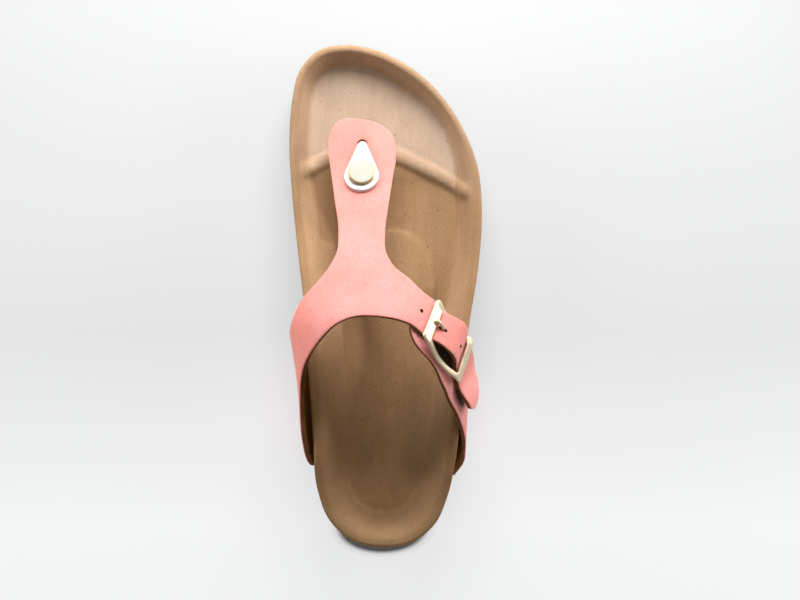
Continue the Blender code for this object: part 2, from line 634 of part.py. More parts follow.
def surface_frame(girth, y, stand):
    """Placement on the thong strap: z away from the foot, y towards the toe."""
    place = last_point(girth, y) + last_normal(girth, y) * (float(thong_lift(girth, y)) + stand)
    up = Vector(last_normal(girth, y)).normalized()
    ahead = Vector(last_point(girth, y + 1.0) - last_point(girth, y - 1.0)).normalized()
    side = ahead.cross(up).normalized()
    ahead = up.cross(side)
    frame = Matrix((side, ahead, up)).transposed().to_4x4()
    frame.translation = Vector(place) * MM
    return frame


def rounded_loop(half_p, half_q, corner, along, across, bends):
    """Rounded rectangle, the same number of points for any size."""
    points = []
    centres = [(1, 1, 0), (-1, 1, 1), (-1, -1, 2), (1, -1, 3)]
    for sp, sq, quarter in centres:
        cp, cq = sp * (half_p - corner), sq * (half_q - corner)
        for k in range(bends + 1):
            a = (quarter + k / bends) * math.pi / 2
            points.append((cp + corner * math.cos(a), cq + corner * math.sin(a)))
        next_sp, next_sq, _ = centres[(quarter + 1) % 4]
        count = along if next_sp != sp else across
        a = (quarter + 1) * math.pi / 2
        start = np.array(points[-1])
        stop = np.array((next_sp * (half_p - corner) + corner * math.cos(a),
                         next_sq * (half_q - corner) + corner * math.sin(a)))
        points += [tuple(start + (stop - start) * k / count) for k in range(1, count)]
    return np.array(points)


def make_buckle_frame(seat):
    """Flat ring bent over the tail, its arms dipped to carry the thin bar under the tail."""
    half_q = FRAME_OPENING / 2 + ARM_WIDTH
    outer = rounded_loop(seat.half + BAR_WIDTH / 2, half_q, FRAME_CORNER, 8, 6, 3)
    inner = rounded_loop(seat.half - BAR_WIDTH / 2, FRAME_OPENING / 2, 0.8, 8, 6, 3)
    low = centre_bar_height(seat)
    window = seat.half - BAR_WIDTH / 2

    def height(p):
        on_arm = ease((1 - abs(p) / window) / ARM_DROP)
        return seat.rise(p) + 2 * GAP - ARM_DIP * on_arm

    bm = bmesh.new()
    rings = [[bm.verts.new(Vector((p, q, float(height(p)))) * MM) for p, q in loop] for loop in (outer, inner)]
    count = len(outer)
    for j in range(count):
        k = (j + 1) % count
        bm.faces.new((rings[0][j], rings[0][k], rings[1][k], rings[1][j]))
    frame = finish_mesh("buckle_frame", bm, closed=False)
    solidify = frame.modifiers.new("thickness", "SOLIDIFY")
    solidify.thickness = FRAME_THICKNESS * MM
    solidify.offset = 1.0
    bevel = frame.modifiers.new("edges", "BEVEL")
    bevel.width = 0.35 * MM
    bevel.limit_method = "ANGLE"
    bevel.angle_limit = math.radians(50)
    apply_modifiers(frame)
    bar = swept_round("centre_bar", [(0.0, -half_q + 0.9, low), (0.0, half_q - 0.9, low)],
                      [CENTRE_BAR_RADIUS] * 2)
    boolean(frame, bar, "UNION")
    drop_object(bar)
    frame.matrix_world = seat.frame
    settle(frame)
    return frame


def centre_bar_height(seat):
    """Middle of the thin bar, just under the inner face of the tail."""
    return float(seat.tail_face(0.0)) - STRAP_THICKNESS - GAP - CENTRE_BAR_RADIUS - 0.2


def make_prong(seat):
    """Bent pin from the thin bar up through the tail and onto the inner bar."""
    def under(p):
        return float(seat.tail_face(p)) - STRAP_THICKNESS - GAP - PRONG_RADIUS - 0.2

    root = -CENTRE_BAR_RADIUS - GAP - PRONG_RADIUS * 0.5
    tip_p = -seat.half - 0.2
    tip = float(seat.rise(tip_p)) + FRAME_THICKNESS + 3 * GAP + PRONG_RADIUS
    path = [
        (root, 0.0, min(centre_bar_height(seat), under(root))),
        (-3.6, 0.0, under(-3.6)),
        (PRONG_HOLE, 0.0, float(seat.tail_face(PRONG_HOLE)) - STRAP_THICKNESS / 2),
        (-seat.half + BAR_WIDTH / 2 + 1.0, 0.0, tip + 0.6),
        (tip_p, 0.0, tip + 0.1),
    ]
    prong = swept_round("buckle_prong", path, [PRONG_RADIUS] * len(path))
    prong.matrix_world = seat.frame
    settle(prong)
    return prong


def tail_hole(name, seat, p, half_length=0.0):
    """Cutter for one hole of the tail, round or stretched along the tail."""
    loop = []
    for k in range(16):
        a = 2 * math.pi * k / 16
        stretch = half_length if math.cos(a) > 1e-6 else -half_length if math.cos(a) < -1e-6 else 0.0
        loop.append((p + stretch + HOLE_RADIUS * math.cos(a), HOLE_RADIUS * math.sin(a)))
    middle = float(seat.tail_face(p)) - STRAP_THICKNESS / 2
    tilt = math.atan(float(seat.tail_face(p + 0.5) - seat.tail_face(p - 0.5)))
    bm = bmesh.new()
    face = bm.faces.new([bm.verts.new(Vector((a - p, b, -2.6)) * MM) for a, b in loop])
    grown = bmesh.ops.extrude_face_region(bm, geom=[face])
    for v in grown["geom"]:
        if isinstance(v, bmesh.types.BMVert):
            v.co.z += 5.2 * MM
    cutter = finish_mesh(name, bm)
    turn = Matrix.Rotation(-tilt, 4, "Y")
    cutter.matrix_world = seat.frame @ Matrix.Translation(Vector((p, 0, middle)) * MM) @ turn
    settle(cutter)
    return cutter


# Mesh helpers

def finish_mesh(name, bm, closed=True):
    """Object from a built mesh, faces turned outward."""
    if closed:
        bmesh.ops.recalc_face_normals(bm, faces=bm.faces[:])
    mesh = bpy.data.meshes.new(name)
    bm.to_mesh(mesh)
    bm.free()
    ob = bpy.data.objects.new(name, mesh)
    bpy.context.scene.collection.objects.link(ob)
    return ob


def apply_modifiers(ob):
    graph = bpy.context.evaluated_depsgraph_get()
    mesh = bpy.data.meshes.new_from_object(ob.evaluated_get(graph))
    ob.modifiers.clear()
    ob.data = mesh
    mesh.name = ob.name


def settle(ob):
    """Write the placement of an object into its mesh."""
    ob.data.transform(ob.matrix_world)
    ob.matrix_world = Matrix.Identity(4)
    bpy.context.view_layer.update()


def drop_object(ob):
    bpy.data.objects.remove(ob, do_unlink=True)


def boolean(ob, other, operation):
    bpy.context.view_layer.update()
    modifier = ob.modifiers.new(operation.lower(), "BOOLEAN")
    modifier.operation = operation
    modifier.solver = "EXACT"
    modifier.object = other
    apply_modifiers(ob)


def box(name, place, size):
    bm = bmesh.new()
    bmesh.ops.create_cube(bm, size=1.0)
    bmesh.ops.scale(bm, vec=Vector(size) * MM, verts=bm.verts[:])
    bmesh.ops.translate(bm, vec=Vector(place) * MM, verts=bm.verts[:])
    return finish_mesh(name, bm)


def turned(name, profile):
    """Solid of revolution about z from radius and height pairs."""
    bm = bmesh.new()
    line = [bm.verts.new((r * MM, 0.0, z * MM)) for r, z in profile]
    edges = [bm.edges.new(pair) for pair in zip(line, line[1:])]
    bmesh.ops.spin(bm, geom=line + edges, cent=(0, 0, 0), axis=(0, 0, 1), angle=2 * math.pi,
                   steps=SMOOTH_SEGMENTS, use_merge=True)
    bmesh.ops.remove_doubles(bm, verts=bm.verts[:], dist=1e-6)
    return finish_mesh(name, bm)


def swept_round(name, path, radii, sides=12, steps=4):
    """Round bar along a smooth path, with a radius for each point of the path."""
    path = np.asarray(path, float)
    along = np.concatenate([[0.0], np.cumsum(np.linalg.norm(np.diff(path, axis=0), axis=1))])
    at = np.unique(np.concatenate([np.linspace(a, b, steps + 1) for a, b in zip(along, along[1:])]))
    points = np.stack([smooth(along, path[:, i], at) for i in range(3)], axis=1)
    radius = smooth(along, radii, at)
    bm = bmesh.new()
    rings = []
    side = None
    for i, p in enumerate(points):
        ahead = Vector(points[min(i + 1, len(points) - 1)] - points[max(i - 1, 0)]).normalized()
        if side is None:
            side = Vector((1, 0, 0)) if abs(ahead.x) < 0.8 else Vector((0, 1, 0))
        side = (side - ahead * side.dot(ahead)).normalized()
        other = ahead.cross(side)
        ring = []
        for k in range(sides):
            a = 2 * math.pi * k / sides
            spot = Vector(p) + (side * math.cos(a) + other * math.sin(a)) * float(radius[i])
            ring.append(bm.verts.new(spot * MM))
        rings.append(ring)
    for near, far in zip(rings, rings[1:]):
        for k in range(sides):
            n = (k + 1) % sides
            bm.faces.new((near[k], near[n], far[n], far[k]))
    bm.faces.new(rings[0][::-1])
    bm.faces.new(rings[-1])
    return finish_mesh(name, bm)


def material(name, colour, roughness, metallic=0.0):
    mat = bpy.data.materials.new(name)
    mat.use_nodes = True
    shader = mat.node_tree.nodes["Principled BSDF"]
    shader.inputs["Base Color"].default_value = (*colour, 1.0)
    shader.inputs["Roughness"].default_value = roughness
    shader.inputs["Metallic"].default_value = metallic
    return mat


def round_cutter(name, x, y, radius, low, high):
    bm = bmesh.new()
    bmesh.ops.create_cone(bm, cap_ends=True, segments=20, radius1=radius * MM, radius2=radius * MM,
                          depth=(high - low) * MM)
    bmesh.ops.translate(bm, vec=Vector((x, y, (low + high) / 2)) * MM, verts=bm.verts[:])
    return finish_mesh(name, bm)


def main():
    for ob in list(bpy.data.objects):
        bpy.data.objects.remove(ob, do_unlink=True)

    rays = SoleRays()
    outsole = make_outsole(rays)
    footbed = make_footbed(rays)
    insole = make_insole(rays)

    half_tail = FRAME_OPENING / 2
    bends = [(SEAT.pattern_spot(p, -half_tail), SEAT.pattern_spot(p, half_tail)) for p in TAIL_BEND_LINES]
    thong = drape("thong_strap", strap_edge(THONG_STRAP, THONG_EDGE_POINTS), thong_place, STRAP_THICKNESS,
                  lines=bends)
    strap = drape("buckle_strap", strap_edge(BUCKLE_STRAP, BUCKLE_STRAP_EDGE_POINTS), buckle_strap_place, STRAP_THICKNESS)

    tongue = make_tongue()
    post = make_post(tongue)
    rivet = make_rivet()
    frame = make_buckle_frame(SEAT)
    prong = make_prong(SEAT)

    post_room = POST_FOOT_RADIUS + POST_HOLE_CLEARANCE
    cuts = [
        (footbed, pocket_cutter("pocket_inner", THONG_STRAP, False)),
        (footbed, pocket_cutter("pocket_outer", BUCKLE_STRAP, True)),
        (footbed, round_cutter("post_hole_footbed", POST_X, POST_Y, post_room, 0.0, 30.0)),
        (insole, round_cutter("post_hole_insole", POST_X, POST_Y, post_room, 5.0, 24.0)),
        (thong, round_cutter("post_hole_strap", POST_X, STRAP_HOLE_Y, STRAP_HOLE_RADIUS, 24.0, 44.0)),
        (thong, tail_hole("prong_hole", SEAT, PRONG_HOLE, PRONG_SLOT)),
    ]
    cuts += [(thong, tail_hole("tail_hole_%d" % i, SEAT, p)) for i, p in enumerate(TAIL_HOLES)]
    for ob, cutter in cuts:
        boolean(ob, cutter, "DIFFERENCE")

    parts = bpy.data.collections.new("toe_post_sandal")
    tools = bpy.data.collections.new("cutters")
    bpy.context.scene.collection.children.link(parts)
    bpy.context.scene.collection.children.link(tools)
    looks = [
        (outsole, material("foam", (0.075, 0.045, 0.030), 0.75)),
        (footbed, material("cork", (0.42, 0.25, 0.13), 0.85)),
        (insole, material("suede", (0.55, 0.36, 0.22), 0.92)),
        (thong, material("felted_strap", (0.85, 0.36, 0.30), 0.95)),
        (strap, material("felted_strap_outer", (0.85, 0.36, 0.30), 0.95)),
        (post, material("white_plastic", (0.86, 0.85, 0.87), 0.30)),
        (rivet, material("pale_gold", (0.83, 0.74, 0.55), 0.25, 1.0)),
        (frame, material("pale_gold_frame", (0.83, 0.74, 0.55), 0.22, 1.0)),
        (prong, material("pale_gold_prong", (0.83, 0.74, 0.55), 0.25, 1.0)),
    ]
    for ob, look in looks:
        bpy.context.scene.collection.objects.unlink(ob)
        parts.objects.link(ob)
        ob.data.materials.clear()
        ob.data.materials.append(look)
    for ob in parts.objects:
        ob.data.transform(CENTRED)
    for ob, cutter in cuts:
        cutter.data.transform(CENTRED)
        bpy.context.scene.collection.objects.unlink(cutter)
        tools.objects.link(cutter)
        cutter.hide_render = True
        cutter.display_type = "WIRE"


main()
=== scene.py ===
"""Looks of the toe post sandal: fine forms, node materials, light, floor and camera.

Sizes are in millimetres and become metres where a mesh is made. The toe points to +Y, the outer
(little toe) side to +X, the floor is z = 0.
"""

import math

import bmesh
import bpy
import numpy as np
from mathutils import Matrix, Vector


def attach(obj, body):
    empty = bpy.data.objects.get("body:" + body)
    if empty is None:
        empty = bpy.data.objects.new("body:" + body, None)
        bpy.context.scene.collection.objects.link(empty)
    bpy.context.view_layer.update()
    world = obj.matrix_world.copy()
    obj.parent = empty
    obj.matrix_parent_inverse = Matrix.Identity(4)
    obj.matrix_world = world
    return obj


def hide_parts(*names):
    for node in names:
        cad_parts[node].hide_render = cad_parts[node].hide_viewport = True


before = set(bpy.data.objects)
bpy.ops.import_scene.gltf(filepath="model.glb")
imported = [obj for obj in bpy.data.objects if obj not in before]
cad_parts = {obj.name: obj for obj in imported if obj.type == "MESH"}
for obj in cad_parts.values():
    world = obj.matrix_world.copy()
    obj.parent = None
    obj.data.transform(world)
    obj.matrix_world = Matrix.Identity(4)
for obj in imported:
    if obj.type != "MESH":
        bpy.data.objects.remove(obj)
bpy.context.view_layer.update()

MM = 0.001

# Fit between pieces
GAP = 0.3                     # clearance between pieces that touch
INSOLE_THICKNESS = 1.2
STRAP_THICKNESS = 2.2

# Ground contact
OUTSOLE_THICKNESS = 7.5
OUTSOLE_ROUND = 1.92          # rounding of the lower edge
SPRING_START, SPRING_RISE = 62.0, 9.0       # toe spring: where it starts (y), rise at the tip
HEEL_BEVEL_START, HEEL_BEVEL_RISE = -108.0, 2.0
WAIST_BACK, WAIST_FRONT, WAIST_RISE = -42.0, 18.0, 1.5
TOE_TIP, HEEL_END = 127.0, -125.6

# Rim of the footbed seen from above, once round: across (x), along (y)
OUTLINE = [
    (-20.5, 127.0),           # toe tip
    (-33.8, 124.3),
    (-43.4, 114.3),
    (-47.2, 99.5),
    (-48.8, 79.0),            # big toe joint
    (-47.6, 55.0),
    (-44.2, 23.0),
    (-40.4, -8.0),
    (-38.2, -41.5),           # inner waist
    (-36.1, -69.2),
    (-33.8, -96.9),
    (-28.4, -111.2),
    (-16.7, -122.1),
    (-1.9, -125.6),           # heel end
    (13.9, -122.8),
    (25.0, -113.5),
    (30.9, -100.4),
    (35.0, -82.2),
    (38.0, -54.6),            # outer waist
    (41.9, -16.0),
    (46.8, 14.0),
    (48.8, 43.0),             # little toe joint
    (46.4, 67.0),
    (38.5, 86.5),
    (26.5, 103.7),
    (9.0, 118.0),
    (-5.3, 124.5),
]

# Footbed sections from heel to toe: height of the bed on the centre line, of the rim on the inner
# and the outer side, and how far the wall reaches in from the rim on each side
SECTION_COLUMNS = ("y", "bed", "rim_in", "rim_out", "wall_in", "wall_out")
SECTIONS = [
    (-127.0, 21.0, 39.5, 39.5, 17.0, 17.0),
    (-108.0, 20.5, 39.5, 39.5, 16.5, 16.5),
    (-88.0, 20.0, 39.0, 38.5, 15.5, 15.5),
    (-62.0, 20.5, 38.5, 36.5, 18.0, 15.0),
    (-30.0, 21.5, 39.0, 32.5, 29.0, 14.5),
    (0.0, 20.0, 35.0, 28.5, 27.0, 14.0),
    (28.0, 16.5, 28.5, 25.5, 19.0, 14.0),
    (56.0, 14.5, 25.0, 24.5, 11.5, 13.5),
    (85.0, 14.8, 25.0, 25.0, 10.5, 10.0),
    (105.0, 16.5, 26.5, 26.5, 10.0, 9.5),
    (127.0, 19.5, 29.0, 29.0, 10.8, 10.8),
]
RIM_FLAT = 0.22               # share of the wall that is the flat top of the rim
RIM_ROUND = 1.6               # rounding of the outer edge of the rim

# Toe bar: crest line from the inner to the outer side
TOE_BAR_LINE = [(-42.0, 63.5), (-28.0, 70.5), (-12.0, 73.0), (6.0, 71.2), (22.0, 64.0), (43.0, 52.0)]
TOE_BAR_RISE, TOE_BAR_FRONT, TOE_BAR_BACK = 2.1, 4.6, 4.4
CREASE_DEPTH, CREASE_OFF, CREASE_WIDTH = 0.35, 5.4, 1.6         # crease in front of the bar
# Round ends of the bar: x, y, radius, rise
BAR_KNOBS = [(41.0, 53.2, 3.6, 3.6), (-40.5, 64.5, 4.6, 2.2)]

# Metatarsal pad: centre, half sizes, rise
PAD_X, PAD_Y, PAD_HALF_X, PAD_HALF_Y, PAD_RISE = 4.0, 6.0, 22.0, 28.0, 3.2
PAD_RUN_OUT, PAD_FADE = 1.7, 14.0           # how much longer its heel side is, which has no edge
PAD_EDGE, PAD_EDGE_FROM, PAD_EDGE_TO = 0.60, 1.03, 0.955       # step round its toe side, in radii

# Fine mesh of the sole: spine ends, rows along the spine, fans round the ends, steps in from the rim
SPINE_HEEL, SPINE_TOE = -93.0, 86.0
SPINE_ROWS = np.linspace(SPINE_TOE, SPINE_HEEL, 150)
TOE_FAN, HEEL_FAN = 90, 76
RIM_STEPS = np.concatenate([[0.0, 0.3, 0.7, 1.2, 1.8, 2.5], 3.2 + 0.75 * np.arange(24)])
INNER_STEPS = 14              # further steps from there to the spine
SPINE_CLEAR = 3.0             # how near to the spine they come
BASE_STEP = 14.0              # one step in from the rim on flat faces
HIDDEN_STEPS = (28.0, 22.0, 16.0, 12.0, 8.0, 5.0, 2.5, 0.0)   # faces that other pieces cover
HIDDEN_DROP = 1.2             # how much lower these lie than in the solids, clear of the relief

# Foot form that the straps are wrapped on: its crest, and its widest place on the inner and outer side
LAST_COLUMNS = ("y", "crest_x", "crest_z", "inner_z", "outer_z", "inner_x", "outer_x")
LAST = [
    (-95.0, -4.0, 69.0, 36.0, 25.0, -35.8, 39.4),
    (-70.0, -5.0, 72.0, 39.0, 26.0, -39.8, 40.3),
    (-45.0, -6.0, 74.5, 41.0, 26.5, -41.6, 41.6),
    (-25.0, -6.3, 75.5, 41.5, 27.0, -44.4, 42.6),
    (-11.0, -7.0, 74.0, 41.5, 28.0, -46.9, 43.4),
    (5.0, -8.8, 66.5, 40.5, 28.0, -47.3, 44.8),
    (28.0, -11.4, 53.5, 34.5, 27.0, -46.5, 46.0),
    (55.0, -11.7, 40.5, 27.0, 23.0, -46.0, 46.0),
    (79.0, -11.5, 30.5, 19.5, 19.0, -45.0, 46.0),
    (92.0, -11.5, 25.3, 15.0, 15.0, -44.0, 46.0),
]
POCKET_DEPTH = 13.0           # how far the strap ends reach in under the cork
POCKET_HEIGHT = STRAP_THICKNESS + 2 * GAP + 0.1
BEND = GAP + 0.1              # inner radius of the strap where it turns in under the cork
GIRTH_BEND = 0.1              # share of the girth coordinate taken by that turn
GIRTH_FLAP = 2.4              # girth coordinate of the strap ends
GIRTH_MM = 45.0               # one unit of girth in millimetres, to lay patterns out flat
GIRTH_STEP, Y_STEP = 0.004, 0.4             # steps that the slope of a wrapped face is read over
FLAP_MARGIN = 0.005           # how far inside the strap ends the path is read

# Strap patterns. Girth is 0 on the crest, 1 at the widest place, 2 at the pocket under the cork,
# counted negative on the inner side. Each pattern is one edge line, closed by its straight base.
THONG_STRAP = [               # girth, y
    (-2.40, -87.5), (-2.20, -87.5), (-2.00, -87.0),            # inner base, back corner
    (-1.65, -85.6), (-1.30, -82.3), (-1.08, -77.5), (-0.975, -70.0), (-0.925, -61.0),
    (-0.865, -50.9), (-0.766, -41.0), (-0.66, -33.5), (-0.54, -26.9), (-0.418, -20.6),
    (-0.238, -12.8), (-0.102, -10.2), (0.022, -10.3),          # instep opening
    (0.126, -11.7), (0.218, -14.4), (0.276, -17.6), (0.322, -20.0), (0.368, -21.7),
    (0.446, -26.5), (0.525, -31.5), (0.582, -36.0), (0.618, -41.5), (0.645, -47.0), (0.685, -52.4),
    (0.725, -55.2), (0.765, -55.6), (0.81, -54.0), (0.85, -50.4), (0.876, -46.0),   # tip of the tail
    (0.875, -39.0), (0.82, -32.2), (0.736, -24.6), (0.664, -17.8), (0.581, -13.2),
    (0.489, -9.7), (0.45, -7.2), (0.408, -4.0), (0.322, 0.1),
    (0.23, 7.9), (0.17, 12.1), (0.13, 18.5),                   # flare into the stem
    (0.127, 30.1), (0.142, 40.3), (0.166, 55.0), (0.188, 71.0),
    (0.176, 78.0), (0.142, 82.6), (0.068, 87.0), (-0.054, 89.0),   # front end
    (-0.174, 89.0), (-0.274, 86.2), (-0.325, 80.5), (-0.338, 75.0),
    (-0.305, 64.3), (-0.255, 49.0), (-0.208, 31.5),
    (-0.225, 21.3), (-0.31, 12.7), (-0.434, 5.2), (-0.594, -2.3),   # flare into the inner arm
    (-0.722, -9.8), (-0.83, -14.8), (-1.00, -20.5), (-1.30, -27.0), (-1.65, -32.3),
    (-2.00, -36.0), (-2.20, -36.5), (-2.40, -36.5),            # inner base, front corner
]
BUCKLE_STRAP = [              # girth, y
    (2.40, -46.5), (2.20, -46.5), (2.00, -46.0),               # outer base, front corner
    (1.60, -43.0), (1.25, -40.3), (1.00, -37.3), (0.86, -33.8), (0.772, -29.6), (0.712, -25.6),
    (0.636, -20.6), (0.556, -15.6), (0.478, -11.0), (0.40, -7.9),
    (0.33, -7.6), (0.265, -10.2), (0.228, -14.0),              # round end under the thong strap
    (0.222, -18.0), (0.24, -22.1), (0.288, -26.3), (0.36, -30.6), (0.424, -35.6), (0.484, -41.6),
    (0.548, -46.7), (0.604, -51.8), (0.664, -56.4), (0.724, -60.5), (0.80, -65.6), (0.92, -72.6),
    (0.97, -75.4), (1.00, -76.8), (1.05, -77.8), (1.20, -80.1), (1.50, -84.4), (1.80, -88.7),
    (2.00, -91.6), (2.20, -92.0), (2.40, -92.0),               # outer base, back corner
]
THONG_POINTS, BUCKLE_POINTS = 560, 320      # points along each edge line
THONG_CELLS, BUCKLE_CELLS = (0.55, 0.032, 1.6), (0.55, 0.016, 0.8)   # edge strip, steps of girth and y
# Cut edge from the inner face up: height, distance out, material
STRAP_RIM = [(0.0, 0.0, 1), (0.2, 0.05, 2), (0.75, 0.05, 2), (0.85, -0.05, 2), (1.75, 0.0, 2),
             (2.05, -0.12, 0), (STRAP_THICKNESS, -0.42, 0)]
# How far each strap stands off the foot form: the tail climbs over the buckle strap
TAIL_LIFT, TAIL_LIFT_FROM, TAIL_LIFT_TO = 1.7, -0.18, 0.26
TIP_SPRING, TIP_SPRING_GIRTH, TIP_SPRING_SPREAD = 3.0, 0.45, 0.2
TIP_SPRING_Y, TIP_SPRING_RUN = -32.0, 18.0
BUCKLE_STRAP_SINK, SINK_FROM, SINK_TO = 1.5, 1.0, 1.7

# Toe post, tongue and rivet
POST_X, POST_Y = -11.5, 76.6
POST_RADIUS, POST_FOOT_RADIUS = 2.3, 3.2
STRAP_HOLE_Y, STRAP_HOLE_RADIUS = 75.3, 2.6
TONGUE_THICKNESS = 1.8
TONGUE_FRONT_Y, TONGUE_FRONT_RADIUS = 73.8, 2.4     # narrow end of the drop, joined to the post
TONGUE_BACK_Y, TONGUE_BACK_RADIUS = 58.3, 8.5       # wide end
# Its cells and its edge, listed as for the straps
TONGUE_CELLS = (1.2, 0.02, 0.9)
TONGUE_RIM = [(0.0, -0.25, 0), (0.25, 0.0, 0), (1.15, 0.0, 0), (1.45, -0.1, 0), (1.66, -0.32, 0),
              (1.78, -0.7, 0), (TONGUE_THICKNESS, -1.0, 0)]
RIVET_Y = 59.3
RIVET_RADIUS, RIVET_HEIGHT = 6.6, 1.9

# Pin buckle
INNER_BAR = (0.371, -12.4)    # girth, y of the middle of the inner bar on the tail
OUTER_BAR = (0.645, -30.8)    # same for the outer bar
BAR_WIDTH, ARM_WIDTH = 5.2, 2.8
FRAME_OPENING = 16.6          # across the tail
TAIL_HUMP, HUMP_POWER = 4.4, 1.3   # rise of the tail where it passes over the thin bar
FRAME_THICKNESS = 1.6
FRAME_CORNER, WINDOW_CORNER = 2.4, 0.8
# Section of the frame's bars: share of the width from the outer side, share of the thickness
BAR_SECTION = [(0.0, 0.2), (0.0, 0.68), (0.03, 0.86), (0.09, 0.97), (0.22, 1.0), (0.5, 1.0), (0.78, 1.0),
               (0.91, 0.97), (0.97, 0.86), (1.0, 0.68), (1.0, 0.2), (0.95, 0.06), (0.85, 0.0),
               (0.15, 0.0), (0.05, 0.06)]
ARM_DIP = (2.9, 3.6)          # dip of the heel side and the toe side arm, which carry the thin bar
BAR_SKEW = (8.0, 17.0)        # turn of the inner and the outer bar out of square, degrees
ARM_BOW = (2.0, -1.7)         # their outward bow
CENTRE_BAR_RADIUS = 1.05
PRONG_RADIUS = 0.85
HOLE_RADIUS = 0.9
TAIL_HOLES = (-20.2, 4.1)     # along the tail from the middle of the buckle
PRONG_HOLE = -7.0
PRONG_SLOT = 0.9              # half length of the hole that the prong comes through
PRESS_MARGIN, PRESS_FADE, PRESS_HEIGHT = 1.0, 15.0, 10.0   # it presses the straps into its own bend

# Relief that only the looks have. A pair is where a zone is 0 and where it is 1.
HEEL_SEAT_STEP, HEEL_SEAT_FADE = 0.9, (-12.0, -46.0)
BASIN_STEP, TOE_STEP = 1.2, 0.5             # the ball of the foot and the toes sit in shallow basins
BALL_BACK, BALL_BACK_INNER, BALL_FRONT = (-25.0, 5.0), (25.0, 33.0), (66.0, 54.0)
TOE_BED = (3.0, 7.0)                        # past the crest of the toe bar
SEAT_LINE, BALL_LINE = 19.5, 13.2           # where the bed ends at waist and ball, in from the inner rim
WAIST_LINE = 12.0                           # how much further in it ends from the waist on
SEAT_EDGE = (-2.6, -0.9)                    # step from the wall to the bed
RIM_ZONE = (3.2, 5.2)                       # where the darker band along the rim ends, in from the edge
CORK_FULLNESS = 0.35

# Colours, linear
FELT_DEEP, FELT_PALE, FELT_SPECK = (0.84, 0.308, 0.282), (0.90, 0.370, 0.346), (0.48, 0.12, 0.10)
# The felt tint is painted shade: it darkens the thong strap round the tongue, at its front end and on its
# sides.
# The last felt tone is a near-black painted shadow for the buckle strap below the tail and in the buckle's
# window.
FELT_SHADE_TINT, FELT_SHEEN, FELT_PAINTED_SHADOW = (0.97, 0.71, 0.62), (1.0, 0.82, 0.78, 1.0), (0.030, 0.012, 0.005)
LINING_TONES = (0.45, 0.22, 0.063), (0.53, 0.27, 0.09)
# Cut edge of the straps: lining brown, darkened further as painted shade along the edges.
EDGE_TONES = (0.13, 0.052, 0.02), (0.24, 0.11, 0.05)
SUEDE_DEEP, SUEDE_PALE, SUEDE_SPECK = (0.415, 0.252, 0.138), (0.485, 0.308, 0.178), (0.13, 0.068, 0.03)
SUEDE_SHEEN = (1.0, 0.86, 0.72, 1.0)
# The seat and heel tints are painted shade, the toe tint is a painted highlight that makes the toe bed
# paler, and the rim tint darkens a band along the rim.
SUEDE_ZONES = [               # tinted zones of the insole: name, share, tint
    ("rim", 0.6, (0.76, 0.70, 0.62)),
    ("seat", 1.0, (0.80, 0.77, 0.70)),
    ("toe", 0.9, (1.29, 1.56, 2.12)),
    ("cup", 0.95, (0.60, 0.595, 0.60)),
]
CORK_TONES = (0.37, 0.215, 0.105), (0.47, 0.295, 0.15), (0.56, 0.375, 0.205)
CORK_BARK, CORK_SEAM = (0.15, 0.075, 0.034), (0.17, 0.09, 0.042)
FOAM_TONES = (0.055, 0.033, 0.022), (0.095, 0.06, 0.042)
PLASTIC_TONES = (0.62, 0.615, 0.64), (0.67, 0.665, 0.685)
GOLD_TONES = (0.64, 0.54, 0.375), (0.70, 0.605, 0.44)
PEARL_TONES = (0.475, 0.46, 0.40), (0.53, 0.515, 0.455)       # face of the rivet
RING_REFLECTION_TONES = (0.40, 0.31, 0.14), (0.48, 0.38, 0.19)           # its flange, gold darkened as a painted dark reflection
BAR_PAINTED_SHADE_TONES = (0.012, 0.009, 0.006), (0.02, 0.015, 0.01)        # thin bar, painted near black as the shade below the tail
PAPER_TONES = (0.235, 0.24, 0.248), (0.25, 0.255, 0.263)

# Paper floor: glow beside the sandal and behind its heel, and a painted shadow below the heel where the
# glow is taken away
PAPER_GLOW, FLOOR_GLOW = (0.97, 0.985, 1.0, 1.0), (0.53, 0.72)
HEEL_SHADE, HEEL_SHADE_REACH = (-2.0, -121.0, 0.0), (28.0, 15.9, 15.9)

# Lamps in metres and watts: name, place, target, size, power, colour
LAMPS = [
    ("key", (0.02, 0.44, 0.305), (0.0, 0.02, 0.02), (0.30, 0.20), 3.6, (1.0, 0.985, 0.965)),
    ("right", (0.78, 0.30, 0.27), (0.0, 0.0, 0.03), (0.5, 0.3), 3.8, (1.0, 0.98, 0.95)),
    ("left", (-0.76, 0.40, 0.27), (0.0, 0.0, 0.03), (0.5, 0.3), 4.2, (1.0, 0.98, 0.95)),
    ("top", (0.1, 0.2, 1.9), (0.0, 0.0, 0.0), (1.2, 1.2), 2.3, (1.0, 1.0, 1.0)),
]
WORLD_COLOUR, WORLD_STRENGTH = (1.0, 0.94, 0.84, 1.0), 0.22
CAMERA_PLACE, CAMERA_LENS = (0.00733, -0.0026, 1.0), 86.5

SMOOTH_SEGMENTS = 72          # of a turned piece, once round
# Moves the origin to the middle of the sole
CENTRED = Matrix.Translation((0.0, -(TOE_TIP + HEEL_END) / 2 * MM, 0.0))


def smooth(knots, values, at):
    """Smooth curve through the knots, level beyond both ends."""
    knots, values = np.asarray(knots, float), np.asarray(values, float)
    at = np.clip(np.asarray(at, float), knots[0], knots[-1])
    slopes = np.gradient(values, knots)
    i = np.clip(np.searchsorted(knots, at, side="right") - 1, 0, len(knots) - 2)
    span = knots[i + 1] - knots[i]
    t = (at - knots[i]) / span
    return (
        values[i] * (1 + 2 * t) * (1 - t) ** 2
        + slopes[i] * span * t * (1 - t) ** 2
        + values[i + 1] * t * t * (3 - 2 * t)
        + slopes[i + 1] * span * t * t * (t - 1)
    )


def ease(t):
    """0 to 1 with level ends."""
    t = np.clip(t, 0.0, 1.0)
    return t * t * (3 - 2 * t)


def between(value, start, stop):
    """0 at start and before it, 1 at stop and past it. It falls where stop is the smaller one."""
    return ease((value - start) / (stop - start))


